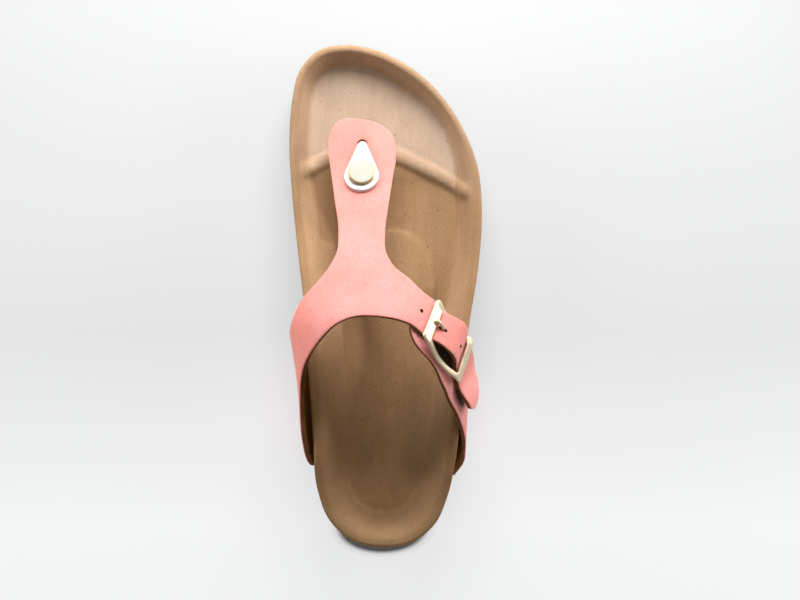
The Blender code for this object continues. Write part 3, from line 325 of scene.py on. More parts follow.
def curve_through(points, count, closed=False, scale=(1.0, 1.0)):
    """Evenly sampled smooth line through plane points."""
    points = np.asarray(points, float)
    if closed:
        points = np.vstack([points[-3:], points, points[:4]])
    steps = np.linalg.norm(np.diff(points * np.asarray(scale), axis=0), axis=1)
    along = np.concatenate([[0.0], np.cumsum(steps)])
    first, last = (along[3], along[-4]) if closed else (along[0], along[-1])
    at = np.linspace(first, last, count, endpoint=not closed)
    return np.stack([smooth(along, points[:, 0], at), smooth(along, points[:, 1], at)], axis=1)


def column(columns, rows, name, at):
    """One named column of a section table, read between its rows."""
    rows = np.asarray(rows, float)
    return smooth(rows[:, 0], rows[:, columns.index(name)], at)


def bed_value(name, y):
    return column(SECTION_COLUMNS, SECTIONS, name, y)


def last_value(name, y):
    return column(LAST_COLUMNS, LAST, name, y)


RIM = curve_through(OUTLINE, 720, closed=True)


def rim_x(y, outer):
    """Where the rim is at a place along the sole, on the inner or the outer side."""
    toe, heel = int(RIM[:, 1].argmax()), int(RIM[:, 1].argmin())
    rolled = np.roll(RIM, -toe, axis=0)
    heel = (heel - toe) % len(RIM)
    half = rolled[heel:] if outer else rolled[:heel + 1][::-1]
    return np.interp(y, half[:, 1], half[:, 0])


# Sole

def toe_spring(y):
    return SPRING_RISE * np.clip((y - SPRING_START) / (TOE_TIP - SPRING_START), 0, None) ** 2


def ground(y):
    """Underside of the outsole: flat under heel and ball, raised at waist, heel edge and toe."""
    y = np.asarray(y, float)
    bevel = np.clip((y - HEEL_BEVEL_START) / (HEEL_END - HEEL_BEVEL_START), 0, None)
    in_waist = np.clip((y - WAIST_BACK) / (WAIST_FRONT - WAIST_BACK), 0, 1)
    return toe_spring(y) + HEEL_BEVEL_RISE * bevel ** 2 + WAIST_RISE * np.sin(math.pi * in_waist) ** 2


def joint(y):
    """Where the cork sits on the outsole."""
    return OUTSOLE_THICKNESS + toe_spring(np.asarray(y, float))


def joint_top(y):
    return joint(y) + GAP / 2


def joint_bottom(y):
    return joint(y) - GAP / 2


def past_bar(x, y):
    """Distance from the crest of the toe bar, towards the toe."""
    line = np.asarray(TOE_BAR_LINE)
    return y - smooth(line[:, 0], line[:, 1], x)


def toe_bar(x, y):
    """Ridge under the toes with a round end on each side and a crease in front."""
    off = past_bar(x, y)
    t = off / np.where(off > 0, TOE_BAR_FRONT, TOE_BAR_BACK)
    ridge = TOE_BAR_RISE * np.clip(1 - t * t, 0, None)
    ridge = ridge - CREASE_DEPTH * np.exp(-((off - CREASE_OFF) / CREASE_WIDTH) ** 2)
    for knob_x, knob_y, radius, rise in BAR_KNOBS:
        ridge = ridge + rise * np.exp(-((x - knob_x) ** 2 + (y - knob_y) ** 2) / radius ** 2)
    return ridge


def metatarsal_pad(x, y):
    """Low dome with a step round its toe side, running out towards the heel."""
    behind = ease((PAD_Y - y) / PAD_FADE)
    half_y = PAD_HALF_Y * (1 + (PAD_RUN_OUT - 1) * behind)
    r = np.hypot((x - PAD_X) / PAD_HALF_X, (y - PAD_Y) / half_y)
    dome = np.clip(1 - r * r, 0, None) ** (1 + 0.6 * behind)
    edge = PAD_EDGE * (1 - behind)
    return PAD_RISE * ((1 - edge) * dome + edge * between(r, PAD_EDGE_FROM, PAD_EDGE_TO))


def bed_height(x, y):
    """Bed of the footbed inside its walls."""
    return bed_value("bed", y) + toe_bar(x, y) + metatarsal_pad(x, y)


class SoleRays:
    """Lines from the spine of the sole out to its rim, once round, counter-clockwise from above."""

    def __init__(self):
        rows = SPINE_ROWS
        self.spine = np.stack([(rim_x(rows, False) + rim_x(rows, True)) / 2, rows], axis=1)
        last = len(rows) - 1
        rays = [(0, a) for a in np.linspace(0, math.pi, TOE_FAN + 1)]
        rays += [(i, math.pi) for i in range(1, last)]
        rays += [(last, a) for a in np.linspace(math.pi, 2 * math.pi, HEEL_FAN + 1)]
        rays += [(i, 0.0) for i in range(last - 1, 0, -1)]
        self.index = np.array([r[0] for r in rays])
        angle = np.array([r[1] for r in rays])
        start = self.spine[self.index]
        self.direction = np.stack([np.cos(angle), np.sin(angle)], axis=1)
        self.length = np.array([self.reach(s, a) for s, a in zip(start, angle)])
        self.end = start + self.direction * self.length[:, None]
        self.inner_share = (1 - self.direction[:, 0]) / 2

    @staticmethod
    def reach(start, angle):
        """Distance from a spine point to the rim in one direction."""
        off = RIM - start
        bearing = np.arctan2(off[:, 1], off[:, 0]) - angle
        bearing = (bearing + math.pi) % (2 * math.pi) - math.pi
        order = np.argsort(bearing)
        return float(np.interp(0.0, bearing[order], np.hypot(off[:, 0], off[:, 1])[order]))

    def loop(self, inset):
        """Points at a distance in from the rim, seen from above."""
        return self.end - self.direction * np.minimum(inset, self.length - SPINE_CLEAR)[:, None]

    def ring(self, inset, height):
        """The same in space, with a height that depends on y alone."""
        points = self.loop(inset)
        return with_height(points, height(points[:, 1]))

    def covered_ring(self, inset, drop, sink):
        """The same below the insole's upper side, sunk a little more away from the edge."""
        points = self.loop(inset)
        return with_height(points, self.top_height(points, inset) - drop - sink * (inset > 2))

    def side_value(self, name):
        """A section column at the rim end of each ray, mixed round toe and heel."""
        y = self.end[:, 1]
        inner, outer = bed_value(name + "_in", y), bed_value(name + "_out", y)
        return outer + (inner - outer) * self.inner_share

    def top_height(self, points, inset):
        """Upper side of the insole at a distance in from the rim."""
        bed = bed_height(points[:, 0], points[:, 1])
        t = (inset / self.side_value("wall") - RIM_FLAT) / (1 - RIM_FLAT)
        height = bed + (self.side_value("rim") - bed) * (1 - ease(t))
        return height - RIM_ROUND * 0.6 * np.clip(1 - inset / RIM_ROUND, 0, 1) ** 2


def with_height(points, height):
    return np.column_stack([points, np.broadcast_to(height, len(points))])


# Straps

def last_point(girth, y):
    """Point on the foot form; beyond girth 2 the path turns in under the cork."""
    girth, y = np.broadcast_arrays(np.asarray(girth, float), np.asarray(y, float))
    outer = girth > 0
    g = np.abs(girth)
    crest_x, crest_z = last_value("crest_x", y), last_value("crest_z", y)
    side_x = np.where(outer, last_value("outer_x", y), last_value("inner_x", y))
    side_z = np.where(outer, last_value("outer_z", y), last_value("inner_z", y))
    sign = np.where(outer, 1.0, -1.0)
    edge_x = np.where(outer, rim_x(y, True), rim_x(y, False))
    ceiling = joint_top(y) + POCKET_HEIGHT

    over = np.minimum(g, 1.0) * math.pi / 2
    x = crest_x + (side_x - crest_x) * np.sin(over)
    z = side_z + (crest_z - side_z) * np.cos(over)

    down = np.clip(g - 1.0, 0.0, 1.0)
    x = np.where(g > 1.0, side_x + (edge_x + sign * BEND - side_x) * down ** 1.7, x)
    z = np.where(g > 1.0, side_z + (ceiling - side_z) * down, z)

    turn = np.clip((g - 2.0) / GIRTH_BEND, 0.0, 1.0) * math.pi / 2
    inward = POCKET_DEPTH * np.clip((g - 2.0 - GIRTH_BEND) / (GIRTH_FLAP - 2.0 - GIRTH_BEND), 0.0, 1.0)
    x = np.where(g > 2.0, edge_x + sign * (BEND * np.cos(turn) - inward), x)
    z = np.where(g > 2.0, ceiling - BEND * np.sin(turn), z)
    return np.stack([x, y, z], axis=-1)


def facing(place, girth, y):
    """Direction away from the foot of a face that is wrapped on it."""
    girth, y = np.asarray(girth, float), np.asarray(y, float)
    across = place(girth + GIRTH_STEP, y) - place(girth - GIRTH_STEP, y)
    along = place(girth, y + Y_STEP) - place(girth, y - Y_STEP)
    normal = np.cross(across, along)
    return normal / np.linalg.norm(normal, axis=-1, keepdims=True)


def off_last(girth, y, lift):
    """Point at a distance from the foot form."""
    return last_point(girth, y) + facing(last_point, girth, y) * np.asarray(lift)[..., None]


def thong_lift(girth, y):
    """The tail climbs over the buckle strap, and its tip springs off it."""
    girth = np.asarray(girth, float)
    climb = TAIL_LIFT * between(girth, TAIL_LIFT_FROM, TAIL_LIFT_TO)
    spring = ease((TIP_SPRING_Y - np.asarray(y, float)) / TIP_SPRING_RUN)
    return climb + TIP_SPRING * spring * ease((girth - TIP_SPRING_GIRTH) / TIP_SPRING_SPREAD)


def buckle_strap_lift(girth):
    return -BUCKLE_STRAP_SINK * between(np.asarray(girth), SINK_TO, SINK_FROM)


def girth_at(x, y):
    """Girth coordinate of a place on the upper half of the foot form, seen from above."""
    crest = last_value("crest_x", y)
    side = np.where(np.asarray(x) > crest, last_value("outer_x", y), last_value("inner_x", y))
    share = np.clip((x - crest) / (side - crest), 0, 1)
    return np.sign(x - crest) * np.arcsin(share) * 2 / math.pi


class BuckleSeat:
    """Place and bend of the buckle, taken from the outer face of the tail under its two bars."""

    def __init__(self):
        ends, ups = [], []
        for girth, y in (INNER_BAR, OUTER_BAR):
            ends.append(Vector(off_last(girth, y, thong_lift(girth, y) + STRAP_THICKNESS)))
            ups.append(Vector(facing(last_point, girth, y)))
        self.half = (ends[1] - ends[0]).length / 2
        along = (ends[1] - ends[0]).normalized()
        up = ups[0] + ups[1]
        up = (up - along * up.dot(along)).normalized()
        across = up.cross(along)
        lean = [math.atan2(u.dot(along), u.dot(up)) for u in ups]
        self.radius = self.half / math.sin((lean[1] - lean[0]) / 2)
        self.frame = Matrix((along, across, up)).transposed().to_4x4()
        self.frame.translation = (ends[0] + ends[1]) / 2 * MM
        self.axes = np.array([along, across, up])
        self.middle = np.array((ends[0] + ends[1]) / 2)

    def rise(self, p):
        """Height of the outer face of the tail over the line between the two bars."""
        level = math.sqrt(self.radius ** 2 - self.half ** 2)
        p = np.clip(np.asarray(p, float), -0.9 * self.radius, 0.9 * self.radius)
        return np.sqrt(self.radius ** 2 - p ** 2) - level

    def pattern_spot(self, p, q):
        """Girth and y of a place on the tail, given along and across the buckle."""
        along, across, up = self.axes
        height = float(self.rise(p)) - TAIL_LIFT - STRAP_THICKNESS
        x, y, _ = self.middle + along * p + across * q + up * height
        return float(girth_at(x, y)), float(y)

    def hump(self, p):
        """How far the tail rises between the two bars, over the thin bar."""
        window = self.half - BAR_WIDTH / 2 - 2 * GAP
        return TAIL_HUMP * np.clip(1 - (np.asarray(p, float) / window) ** 2, 0, None) ** HUMP_POWER

    def skew(self, p):
        """Shift along the tail for each millimetre across it, from bars that are not quite square."""
        share = np.clip((np.asarray(p, float) / self.half + 1) / 2, 0, 1)
        return -np.tan(np.radians(BAR_SKEW[0] + (BAR_SKEW[1] - BAR_SKEW[0]) * share))

    def tail_face(self, p, q=0.0):
        return self.rise(p) + self.hump(p - q * self.skew(p))

    def press(self, points, depth, humped):
        """Bring points near the buckle into its bend, a depth below the outer face of the tail."""
        local = (points - self.middle) @ self.axes.T
        face = self.tail_face(local[..., 0], local[..., 1]) if humped else self.rise(local[..., 0])
        reach = (self.half + BAR_WIDTH / 2, FRAME_OPENING / 2 + ARM_WIDTH, PRESS_HEIGHT)
        share = np.ones(local.shape[:-1])
        for i in (0, 1, 2):
            share = share * (1 - ease((np.abs(local[..., i]) - reach[i] - PRESS_MARGIN) / PRESS_FADE))
        local[..., 2] += share * (face - depth - local[..., 2])
        return local @ self.axes + self.middle


SEAT = BuckleSeat()


def thong_place(girth, y):
    """Inner face of the thong strap."""
    return SEAT.press(off_last(girth, y, thong_lift(girth, y)), STRAP_THICKNESS, True)


def buckle_strap_place(girth, y):
    """Inner face of the buckle strap, which passes under the buckle."""
    return SEAT.press(off_last(girth, y, buckle_strap_lift(girth)), 2 * STRAP_THICKNESS + 2 * GAP, False)


def strap_edge(anchors, count):
    return curve_through(anchors, count, scale=(GIRTH_MM, 1.0))


def pocket_cutter(name, pattern, outer):
    """Room for a strap end under the cork."""
    base = [y for g, y in pattern if abs(g) >= 2.0]
    back, front = min(base) - 2 * GAP, max(base) + 2 * GAP
    edges = rim_x(np.array([back, front]), outer)
    sign = 1.0 if outer else -1.0
    inside = min(abs(edges)) - POCKET_DEPTH - 1.0
    outside = max(abs(edges)) + 5.0
    bottom, top = float(joint(back)) - 2.0, float(joint_top(back)) + POCKET_HEIGHT
    size = (outside - inside, front - back, top - bottom)
    place = (sign * (inside + outside) / 2, (front + back) / 2, (top + bottom) / 2)
    return box(name, place, size)


# Small pieces

def tongue_place(girth, y):
    """Underside of the tongue, lying on the strap."""
    return off_last(girth, y, thong_lift(girth, y) + STRAP_THICKNESS + GAP)


def surface_frame(girth, y, stand):
    """Placement on the thong strap: z away from the foot, y towards the toe."""
    up = Vector(facing(last_point, girth, y)).normalized()
    ahead = Vector(last_point(girth, y + 1.0) - last_point(girth, y - 1.0)).normalized()
    side = ahead.cross(up).normalized()
    placed = Matrix((side, up.cross(side), up)).transposed().to_4x4()
    placed.translation = Vector(off_last(girth, y, thong_lift(girth, y) + stand)) * MM
    return placed


def rounded_loop(half_p, half_q, corner, along, across, bends):
    """Rounded rectangle, the same number of points for any size."""
    points = []
    centres = [(1, 1, 0), (-1, 1, 1), (-1, -1, 2), (1, -1, 3)]
    for sp, sq, quarter in centres:
        cp, cq = sp * (half_p - corner), sq * (half_q - corner)
        for k in range(bends + 1):
            a = (quarter + k / bends) * math.pi / 2
            points.append((cp + corner * math.cos(a), cq + corner * math.sin(a)))
        next_sp, next_sq, _ = centres[(quarter + 1) % 4]
        count = along if next_sp != sp else across
        a = (quarter + 1) * math.pi / 2
        start = np.array(points[-1])
        stop = np.array((next_sp * (half_p - corner) + corner * math.cos(a),
                         next_sq * (half_q - corner) + corner * math.sin(a)))
        points += [tuple(start + (stop - start) * k / count) for k in range(1, count)]
    return np.array(points)


def centre_bar_height(seat):
    """Middle of the thin bar, just under the inner face of the tail."""
    return float(seat.tail_face(0.0)) - STRAP_THICKNESS - GAP - CENTRE_BAR_RADIUS - 0.2


# Mesh helpers

def finish_mesh(name, bm):
    """Object from a built mesh, faces turned outward."""
    bmesh.ops.recalc_face_normals(bm, faces=bm.faces[:])
    mesh = bpy.data.meshes.new(name)
    bm.to_mesh(mesh)
    bm.free()
    return add_object(name, mesh)


def add_object(name, data):
    ob = bpy.data.objects.new(name, data)
    bpy.context.scene.collection.objects.link(ob)
    return ob


def settle(ob, placement, looks, sharp):
    """Write a placement into the mesh of an object, and dress it."""
    ob.data.transform(placement)
    return dress(ob, looks, sharp)


def drop_object(ob):
    bpy.data.objects.remove(ob, do_unlink=True)


def cut(ob, cutter):
    """Take the cutter out of an object and delete it."""
    bpy.context.view_layer.update()
    modifier = ob.modifiers.new("cut", "BOOLEAN")
    modifier.operation = "DIFFERENCE"
    modifier.solver = "EXACT"
    modifier.object = cutter
    graph = bpy.context.evaluated_depsgraph_get()
    mesh = bpy.data.meshes.new_from_object(ob.evaluated_get(graph))
    ob.modifiers.clear()
    ob.data = mesh
    mesh.name = ob.name
    drop_object(cutter)


def box(name, place, size):
    bm = bmesh.new()
    bmesh.ops.create_cube(bm, size=1.0)
    bmesh.ops.scale(bm, vec=Vector(size) * MM, verts=bm.verts[:])
    bmesh.ops.translate(bm, vec=Vector(place) * MM, verts=bm.verts[:])
    return finish_mesh(name, bm)


def turned(name, profile):
    """Solid of revolution about z from radius and height pairs."""
    bm = bmesh.new()
    line = [bm.verts.new((r * MM, 0.0, z * MM)) for r, z in profile]
    edges = [bm.edges.new(pair) for pair in zip(line, line[1:])]
    bmesh.ops.spin(bm, geom=line + edges, cent=(0, 0, 0), axis=(0, 0, 1), angle=2 * math.pi,
                   steps=SMOOTH_SEGMENTS, use_merge=True)
    bmesh.ops.remove_doubles(bm, verts=bm.verts[:], dist=1e-6)
    return finish_mesh(name, bm)


def bridge(bm, rings):
    """Quads between each closed ring of points and the next."""
    for near, far in zip(rings, rings[1:]):
        for quad in zip(near, near[1:] + near[:1], far[1:] + far[:1], far):
            bm.faces.new(quad)


def swept_round(name, path, radii, sides, steps):
    """Round bar along a smooth path, with a radius for each point of the path."""
    path = np.asarray(path, float)
    along = np.concatenate([[0.0], np.cumsum(np.linalg.norm(np.diff(path, axis=0), axis=1))])
    at = np.unique(np.concatenate([np.linspace(a, b, steps + 1) for a, b in zip(along, along[1:])]))
    points = np.stack([smooth(along, path[:, i], at) for i in range(3)], axis=1)
    radius = smooth(along, radii, at)
    bm = bmesh.new()
    rings = []
    side = None
    for i, p in enumerate(points):
        ahead = Vector(points[min(i + 1, len(points) - 1)] - points[max(i - 1, 0)]).normalized()
        if side is None:
            side = Vector((1, 0, 0)) if abs(ahead.x) < 0.8 else Vector((0, 1, 0))
        side = (side - ahead * side.dot(ahead)).normalized()
        other = ahead.cross(side)
        angles = [2 * math.pi * k / sides for k in range(sides)]
        out = [side * math.cos(a) + other * math.sin(a) for a in angles]
        rings.append([bm.verts.new((Vector(p) + o * float(radius[i])) * MM) for o in out])
    bridge(bm, rings)
    bm.faces.new(rings[0][::-1])
    bm.faces.new(rings[-1])
    return finish_mesh(name, bm)


# Fine forms

def in_heel(y):
    """1 at the heel, 0 from the waist on."""
    return between(y, *HEEL_SEAT_FADE)


def in_ball(y, inner=0.0):
    """1 at the ball of the foot, behind the toe bar. On the inner side the arch ends it sooner."""
    back = (1 - inner) * between(y, *BALL_BACK) + inner * between(y, *BALL_BACK_INNER)
    return back * between(y, *BALL_FRONT)


def in_toe(x, y):
    """1 on the bed in front of the toe bar."""
    return between(past_bar(x, y), *TOE_BED)


def seat_share(rays, inset):
    """0 on the wall and 1 on the pressed bed inside it, with a crisp step between."""
    y = rays.end[:, 1]
    line = SEAT_LINE + WAIST_LINE * between(y, -14, 0)
    line = line + (BALL_LINE - line) * rays.inner_share * between(y, 22, 30)
    return between(inset - np.minimum(rays.side_value("wall"), line), *SEAT_EDGE)


def heel_shade_share(rays, points, inset):
    """Painted shade on the heel: on its wall, less at the back, and on the outer half of the heel, where
    the buckle strap's shadow falls.
    """
    x, y = points.T
    back = np.clip(-rays.direction[:, 1], 0, 1)
    behind = (1.05 - 0.47 * back) * (1 - seat_share(rays, inset)) * between(inset, *RIM_ZONE)
    beside = between(inset, 15, 5) * between(rays.end[:, 1], -62, -94)
    outer = 0.72 * between(y, -102, -86) * between(y, -28, -52) * between(x, 2, 16)
    return np.maximum(back * behind + (1 - back) * beside, outer)


def before_bar(points):
    """1 on the toe side of the toe bar, 0 behind it."""
    off = past_bar(points[:, 0], points[:, 1])
    return 0.55 * between(off, -4.5, -1.5) + 0.45 * between(off, 2.5, 6.5)


def zone_tint_shares(rays, points, inset):
    """How strongly each zone's tint applies: painted shade on the pressed bed behind the toe bar and on the
    heel, a painted highlight on the toe bed, and a darker band along the rim, less of it at the heel's
    back.
    """
    ahead = before_bar(points)
    heel_rim = 1 + 0.8 * np.minimum(rays.direction[:, 1], 0)
    # painted shade on the pressed bed, and all over the heel, which lies in the strap's shadow
    seat = np.maximum(seat_share(rays, inset), 0.9 * in_heel(rays.end[:, 1]))
    # the painted highlight on the toe bed fades towards its walls, where their shade falls
    toe = 0.25 + 0.75 * between(inset - rays.side_value("wall"), -2.2, 0.8)
    return {
        "rim": (1 - between(inset, *RIM_ZONE)) * heel_rim,
        "seat": seat * (1 - ahead),
        "toe": toe * ahead,
        "cup": heel_shade_share(rays, points, inset),
    }


def bed_depth(points, y, inner=0.0):
    """How deep the heel seat, the ball and the toe bed are pressed."""
    toe = in_toe(points[:, 0], points[:, 1])
    return HEEL_SEAT_STEP * in_heel(y) + BASIN_STEP * in_ball(y, inner) + TOE_STEP * toe


def bed_relief(rays, points, inset):
    """Pressed bed of the insole inside its walls, as a change of height."""
    inner = rays.inner_share * between(inset / rays.length, 0.85, 0.35)
    return -seat_share(rays, inset) * bed_depth(points, rays.end[:, 1], inner)


def sole_body(name, rays, loops, crest, base, looks):
    """Closed body from loops that run from the top spine out to the edge and back in underneath."""
    bm = bmesh.new()
    rings = [[bm.verts.new(Vector(p) * MM) for p in loop] for loop in loops]
    bridge(bm, rings)
    count = len(rays.index)
    for ring, spine in ((rings[0], crest), (rings[-1], base)):
        ridge = [bm.verts.new(Vector(p) * MM) for p in spine]
        for j in range(count):
            k = (j + 1) % count
            a, b = ridge[rays.index[j]], ridge[rays.index[k]]
            bm.faces.new((ring[j], ring[k], b))
            if a is not b:
                bm.faces.new((ring[j], b, a))
    return dress(finish_mesh(name, bm), looks, 40)


def carry(mesh, name, values):
    """Store a value on each point of a mesh."""
    mesh.attributes.new(name, "FLOAT", "POINT").data.foreach_set("value", values)


def fine_insole(rays, looks):
    """Suede skin with a rounded cut edge. Its mesh carries how strongly each zone's tint applies: painted
    shade, painted highlight and a darker rim band.
    """
    rest = rays.length - SPINE_CLEAR - RIM_STEPS[-1]
    insets = [np.full(len(rays.length), step) for step in RIM_STEPS]
    insets += [RIM_STEPS[-1] + rest * k / INNER_STEPS for k in range(1, INNER_STEPS + 1)]
    loops, zone_shares = [], []
    for inset in reversed(insets):
        points = rays.loop(inset)
        height = rays.top_height(points, inset) + bed_relief(rays, points, inset)
        loops.append(with_height(points, height))
        zone_shares.append(zone_tint_shares(rays, points, inset))
    edge = loops[-1]
    out = np.column_stack([rays.direction, np.zeros(len(edge))])
    loops += [edge + out * 0.12 - np.array([0, 0, drop]) for drop in (0.35, 0.9)]
    loops += [rays.covered_ring(step, INSOLE_THICKNESS, HIDDEN_DROP) for step in reversed(HIDDEN_STEPS)]
    x, y = rays.spine.T
    crest = with_height(rays.spine, bed_height(x, y) - bed_depth(rays.spine, y))
    base = crest - np.array([0, 0, INSOLE_THICKNESS + HIDDEN_DROP])
    body = sole_body("insole_suede", rays, loops, crest, base, looks)
    ahead = before_bar(rays.spine)
    hidden, none = np.ones((len(loops) - len(zone_shares)) * len(edge)), 0 * ahead
    for zone, ridge in (("rim", none), ("seat", 1 - ahead), ("toe", ahead), ("cup", none)):
        bands = [shares[zone] for shares in zone_shares]
        carry(body.data, zone, np.concatenate([*bands, hidden * (zone == "rim"), ridge, none]))
    return body


def fine_footbed(rays, looks):
    """Cork with a slightly full side wall and the two strap pockets."""
    drop = INSOLE_THICKNESS + GAP
    loops = [rays.covered_ring(step, drop, 2 * HIDDEN_DROP) for step in HIDDEN_STEPS]
    edge = loops[-1]
    low = joint_top(edge[:, 1])
    for t in np.linspace(0.04, 1.0, 14):
        points = rays.loop(-CORK_FULLNESS * math.sin(math.pi * t) ** 0.7)
        loops.append(with_height(points, edge[:, 2] + (low - edge[:, 2]) * t))
    loops.append(rays.ring(BASE_STEP, joint_top))
    x, y = rays.spine.T
    crest = with_height(rays.spine, bed_height(x, y) - drop - 2 * HIDDEN_DROP)
    body = sole_body("footbed_cork", rays, loops, crest, with_height(rays.spine, joint_top(y)), looks)
    cut(body, pocket_cutter("pocket_inner", THONG_STRAP, False))
    cut(body, pocket_cutter("pocket_outer", BUCKLE_STRAP, True))
    return dress(body, looks, 40)


def fine_outsole(rays, looks):
    """Foam sole with a rounded lower edge."""
    loops = [rays.ring(step, joint_bottom) for step in (BASE_STEP, 0.6)]
    points = rays.loop(0.0)
    high, low = joint_bottom(points[:, 1]) - 0.4, ground(points[:, 1]) + OUTSOLE_ROUND
    loops += [with_height(points, high + (low - high) * t) for t in np.linspace(0.0, 1.0, 7)]
    for a in (0.35, 0.7, 1.05, math.pi / 2):
        points = rays.loop(OUTSOLE_ROUND * (1 - math.cos(a)))
        loops.append(with_height(points, ground(points[:, 1]) + OUTSOLE_ROUND * (1 - math.sin(a))))
    loops += [rays.ring(step, ground) for step in (6.0, BASE_STEP, 24.0)]
    crest, base = (with_height(rays.spine, height(rays.spine[:, 1])) for height in (joint_bottom, ground))
    return sole_body("outsole_foam", rays, loops, crest, base, looks)


def strap_painted_shade(girth, y):
    """Painted shade on the thong strap, as a darker colour: round the tongue, at its front end and its
    sides.
    """
    share = np.clip((TONGUE_FRONT_Y - y) / (TONGUE_FRONT_Y - TONGUE_BACK_Y), 0, 1)
    middle = TONGUE_FRONT_Y + (TONGUE_BACK_Y - TONGUE_FRONT_Y) * share
    radius = TONGUE_FRONT_RADIUS + (TONGUE_BACK_RADIUS - TONGUE_FRONT_RADIUS) * share
    off = np.hypot(last_point(girth, y)[:, 0] - POST_X, y - middle) - radius
    inner = between(-girth, 0.35, 0.65) * between(-girth, 1.0, 0.8)
    level = 0.15 * between(np.abs(y + 2), 2, 12) + 0.4 * between(y, 50, 75)
    level = level + 0.5 * inner + 0.15 * between(girth, 0.1, 0.3)
    return np.clip(level + 0.45 * between(off, 4.5, 0), 0, 1)


def tail_painted_shadow(girth, y):
    """Painted shadow on the buckle strap: 1 where the tail and the buckle keep the light off it."""
    spots = np.stack([girth, y], axis=1) * (GIRTH_MM, 1.0)
    edge = strap_edge(THONG_STRAP, THONG_POINTS) * (GIRTH_MM, 1.0)
    off = np.linalg.norm(spots[:, None] - edge[None], axis=2)
    nearest = off.argmin(axis=1)
    near = edge[nearest]
    ahead = np.roll(edge, -1, axis=0)[nearest] - near
    inside = np.cross(ahead, spots - near) * signed_area(edge) > 0
    off = np.where(inside, -1, 1) * off.min(axis=1)
    p, q = (SEAT.axes @ (buckle_strap_place(girth, y) - SEAT.middle).T)[:2]
    beyond = ease((p - SEAT.half) / 8.0)
    p = np.abs(p - q * SEAT.skew(p)) / SEAT.half
    arm = FRAME_OPENING / 2 + ARM_BOW[0] * (1 - p * p)
    window = between(q + arm, -0.6, 0.6) * between(p, 1.0, 0.85)
    return np.maximum(window, between(off + 1.5 * beyond, 1.6, 0.3))


def flat_pattern(edge, strip, girth_step, y_step, holes):
    """Flat mesh of a pattern in millimetres, with a strip along its edge, cells inside it and holes."""
    bm = bmesh.new()
    face = bm.faces.new([bm.verts.new((g * GIRTH_MM, y, 0.0)) for g, y in edge])
    if signed_area(edge) < 0:
        face.normal_flip()
    face.normal_update()
    bmesh.ops.inset_region(bm, faces=[face], thickness=strip, use_even_offset=True)
    low, high = edge.min(axis=0), edge.max(axis=0)
    girths, rows = (np.arange(math.ceil(low[i] / step), high[i] / step) * step
                    for i, step in enumerate((girth_step, y_step)))
    turns = [side * (2.0 + GIRTH_BEND * k / 6) for side in (-1, 1) for k in range(7)]
    girths = [g for g in girths if abs(g) < 1.98] + turns
    cuts = [((g * GIRTH_MM, 0, 0), (1, 0, 0)) for g in girths if low[0] < g < high[0]]
    cuts += [((0, y, 0), (0, 1, 0)) for y in rows]
    for spot, direction in cuts:
        bmesh.ops.bisect_plane(bm, geom=bm.verts[:] + bm.edges[:] + bm.faces[:], dist=1e-4,
                               plane_co=spot, plane_no=direction)
    bmesh.ops.remove_doubles(bm, verts=bm.verts[:], dist=0.02)
    for hole in holes:
        punch(bm, hole * (GIRTH_MM, 1.0))
    bmesh.ops.triangulate(bm, faces=bm.faces[:])
    bm.verts.index_update()
    return bm


def open_rings(bm):
    """Rings of point numbers along the open edges of a flat mesh."""
    ahead = {}
    for e in bm.edges:
        if e.is_boundary:
            loop = e.link_loops[0]
            ahead[loop.vert.index] = loop.link_loop_next.vert.index
    rings = []
    while ahead:
        ring = [next(iter(ahead))]
        while ahead[ring[-1]] != ring[0]:
            ring.append(ahead.pop(ring[-1]))
        ahead.pop(ring[-1])
        rings.append(np.array(ring))
    return rings


def thick_sheet(name, edge, place, rim, cells, looks, holes=(), values=None):
    """Wrap a flat pattern on the foot form and give it a thickness with a shaped edge.

    rim lists height over the inner face, distance out from the pattern's edge and material of each
    band, from the inner face up; the last one is the edge of the outer face. cells are the width of
    the strip along the edge and the steps of girth and y. Each hole is a round line in pattern
    coordinates. values are functions of the pattern coordinates that the mesh carries on its points.
    """
    bm = flat_pattern(edge, *cells, holes)
    girth, y = np.array([(v.co.x / GIRTH_MM, v.co.y) for v in bm.verts]).T
    faces = [[v.index for v in f.verts] for f in bm.faces]
    rings = open_rings(bm)
    bm.free()
    limit = GIRTH_FLAP - FLAP_MARGIN
    inner = place(np.clip(girth, -limit, limit), y)
    limit -= FLAP_MARGIN
    normal = facing(place, np.clip(girth, -limit, limit), y)
    outer = inner + normal * rim[-1][0]
    count, longest = len(inner), max(len(ring) for ring in rings)
    points, spots, total = [inner, outer], [np.arange(count)] * 2, 2 * count
    polygons = [f[::-1] for f in faces] + [[i + count for i in f] for f in faces]
    slots = [rim[0][2]] * len(faces) + [rim[-1][2]] * len(faces)
    for ring in rings:
        shape = rim
        if len(ring) < longest:
            shape = [(height, 0.0, rim[1][2]) for height, _, _ in rim]
        run = inner[np.roll(ring, -1)] - inner[np.roll(ring, 1)]
        out = np.cross(run, normal[ring])
        out /= np.linalg.norm(out, axis=1, keepdims=True)
        outer[ring] += out * shape[-1][1]
        rows = [ring]
        for height, reach, _ in shape[1:-1]:
            points.append(inner[ring] + normal[ring] * height + out * reach)
            spots.append(ring)
            rows.append(total + np.arange(len(ring)))
            total += len(ring)
        rows.append(ring + count)
        for near, far, (_, _, slot) in zip(rows, rows[1:], shape[1:]):
            polygons += zip(near, np.roll(near, -1), np.roll(far, -1), far)
            slots += [slot] * len(ring)
    mesh = bpy.data.meshes.new(name)
    mesh.from_pydata((np.vstack(points) * MM).tolist(), [], [[int(i) for i in p] for p in polygons])
    mesh.polygons.foreach_set("material_index", slots)
    for key, value in (values or {}).items():
        carry(mesh, key, value(girth, y)[np.concatenate(spots)])
    return dress(add_object(name, mesh), looks, 50)


def signed_area(edge):
    """Signed area of a flat pattern."""
    ahead = np.roll(edge, -1, axis=0)
    return float(np.sum(edge[:, 0] * ahead[:, 1] - ahead[:, 0] * edge[:, 1])) / 2


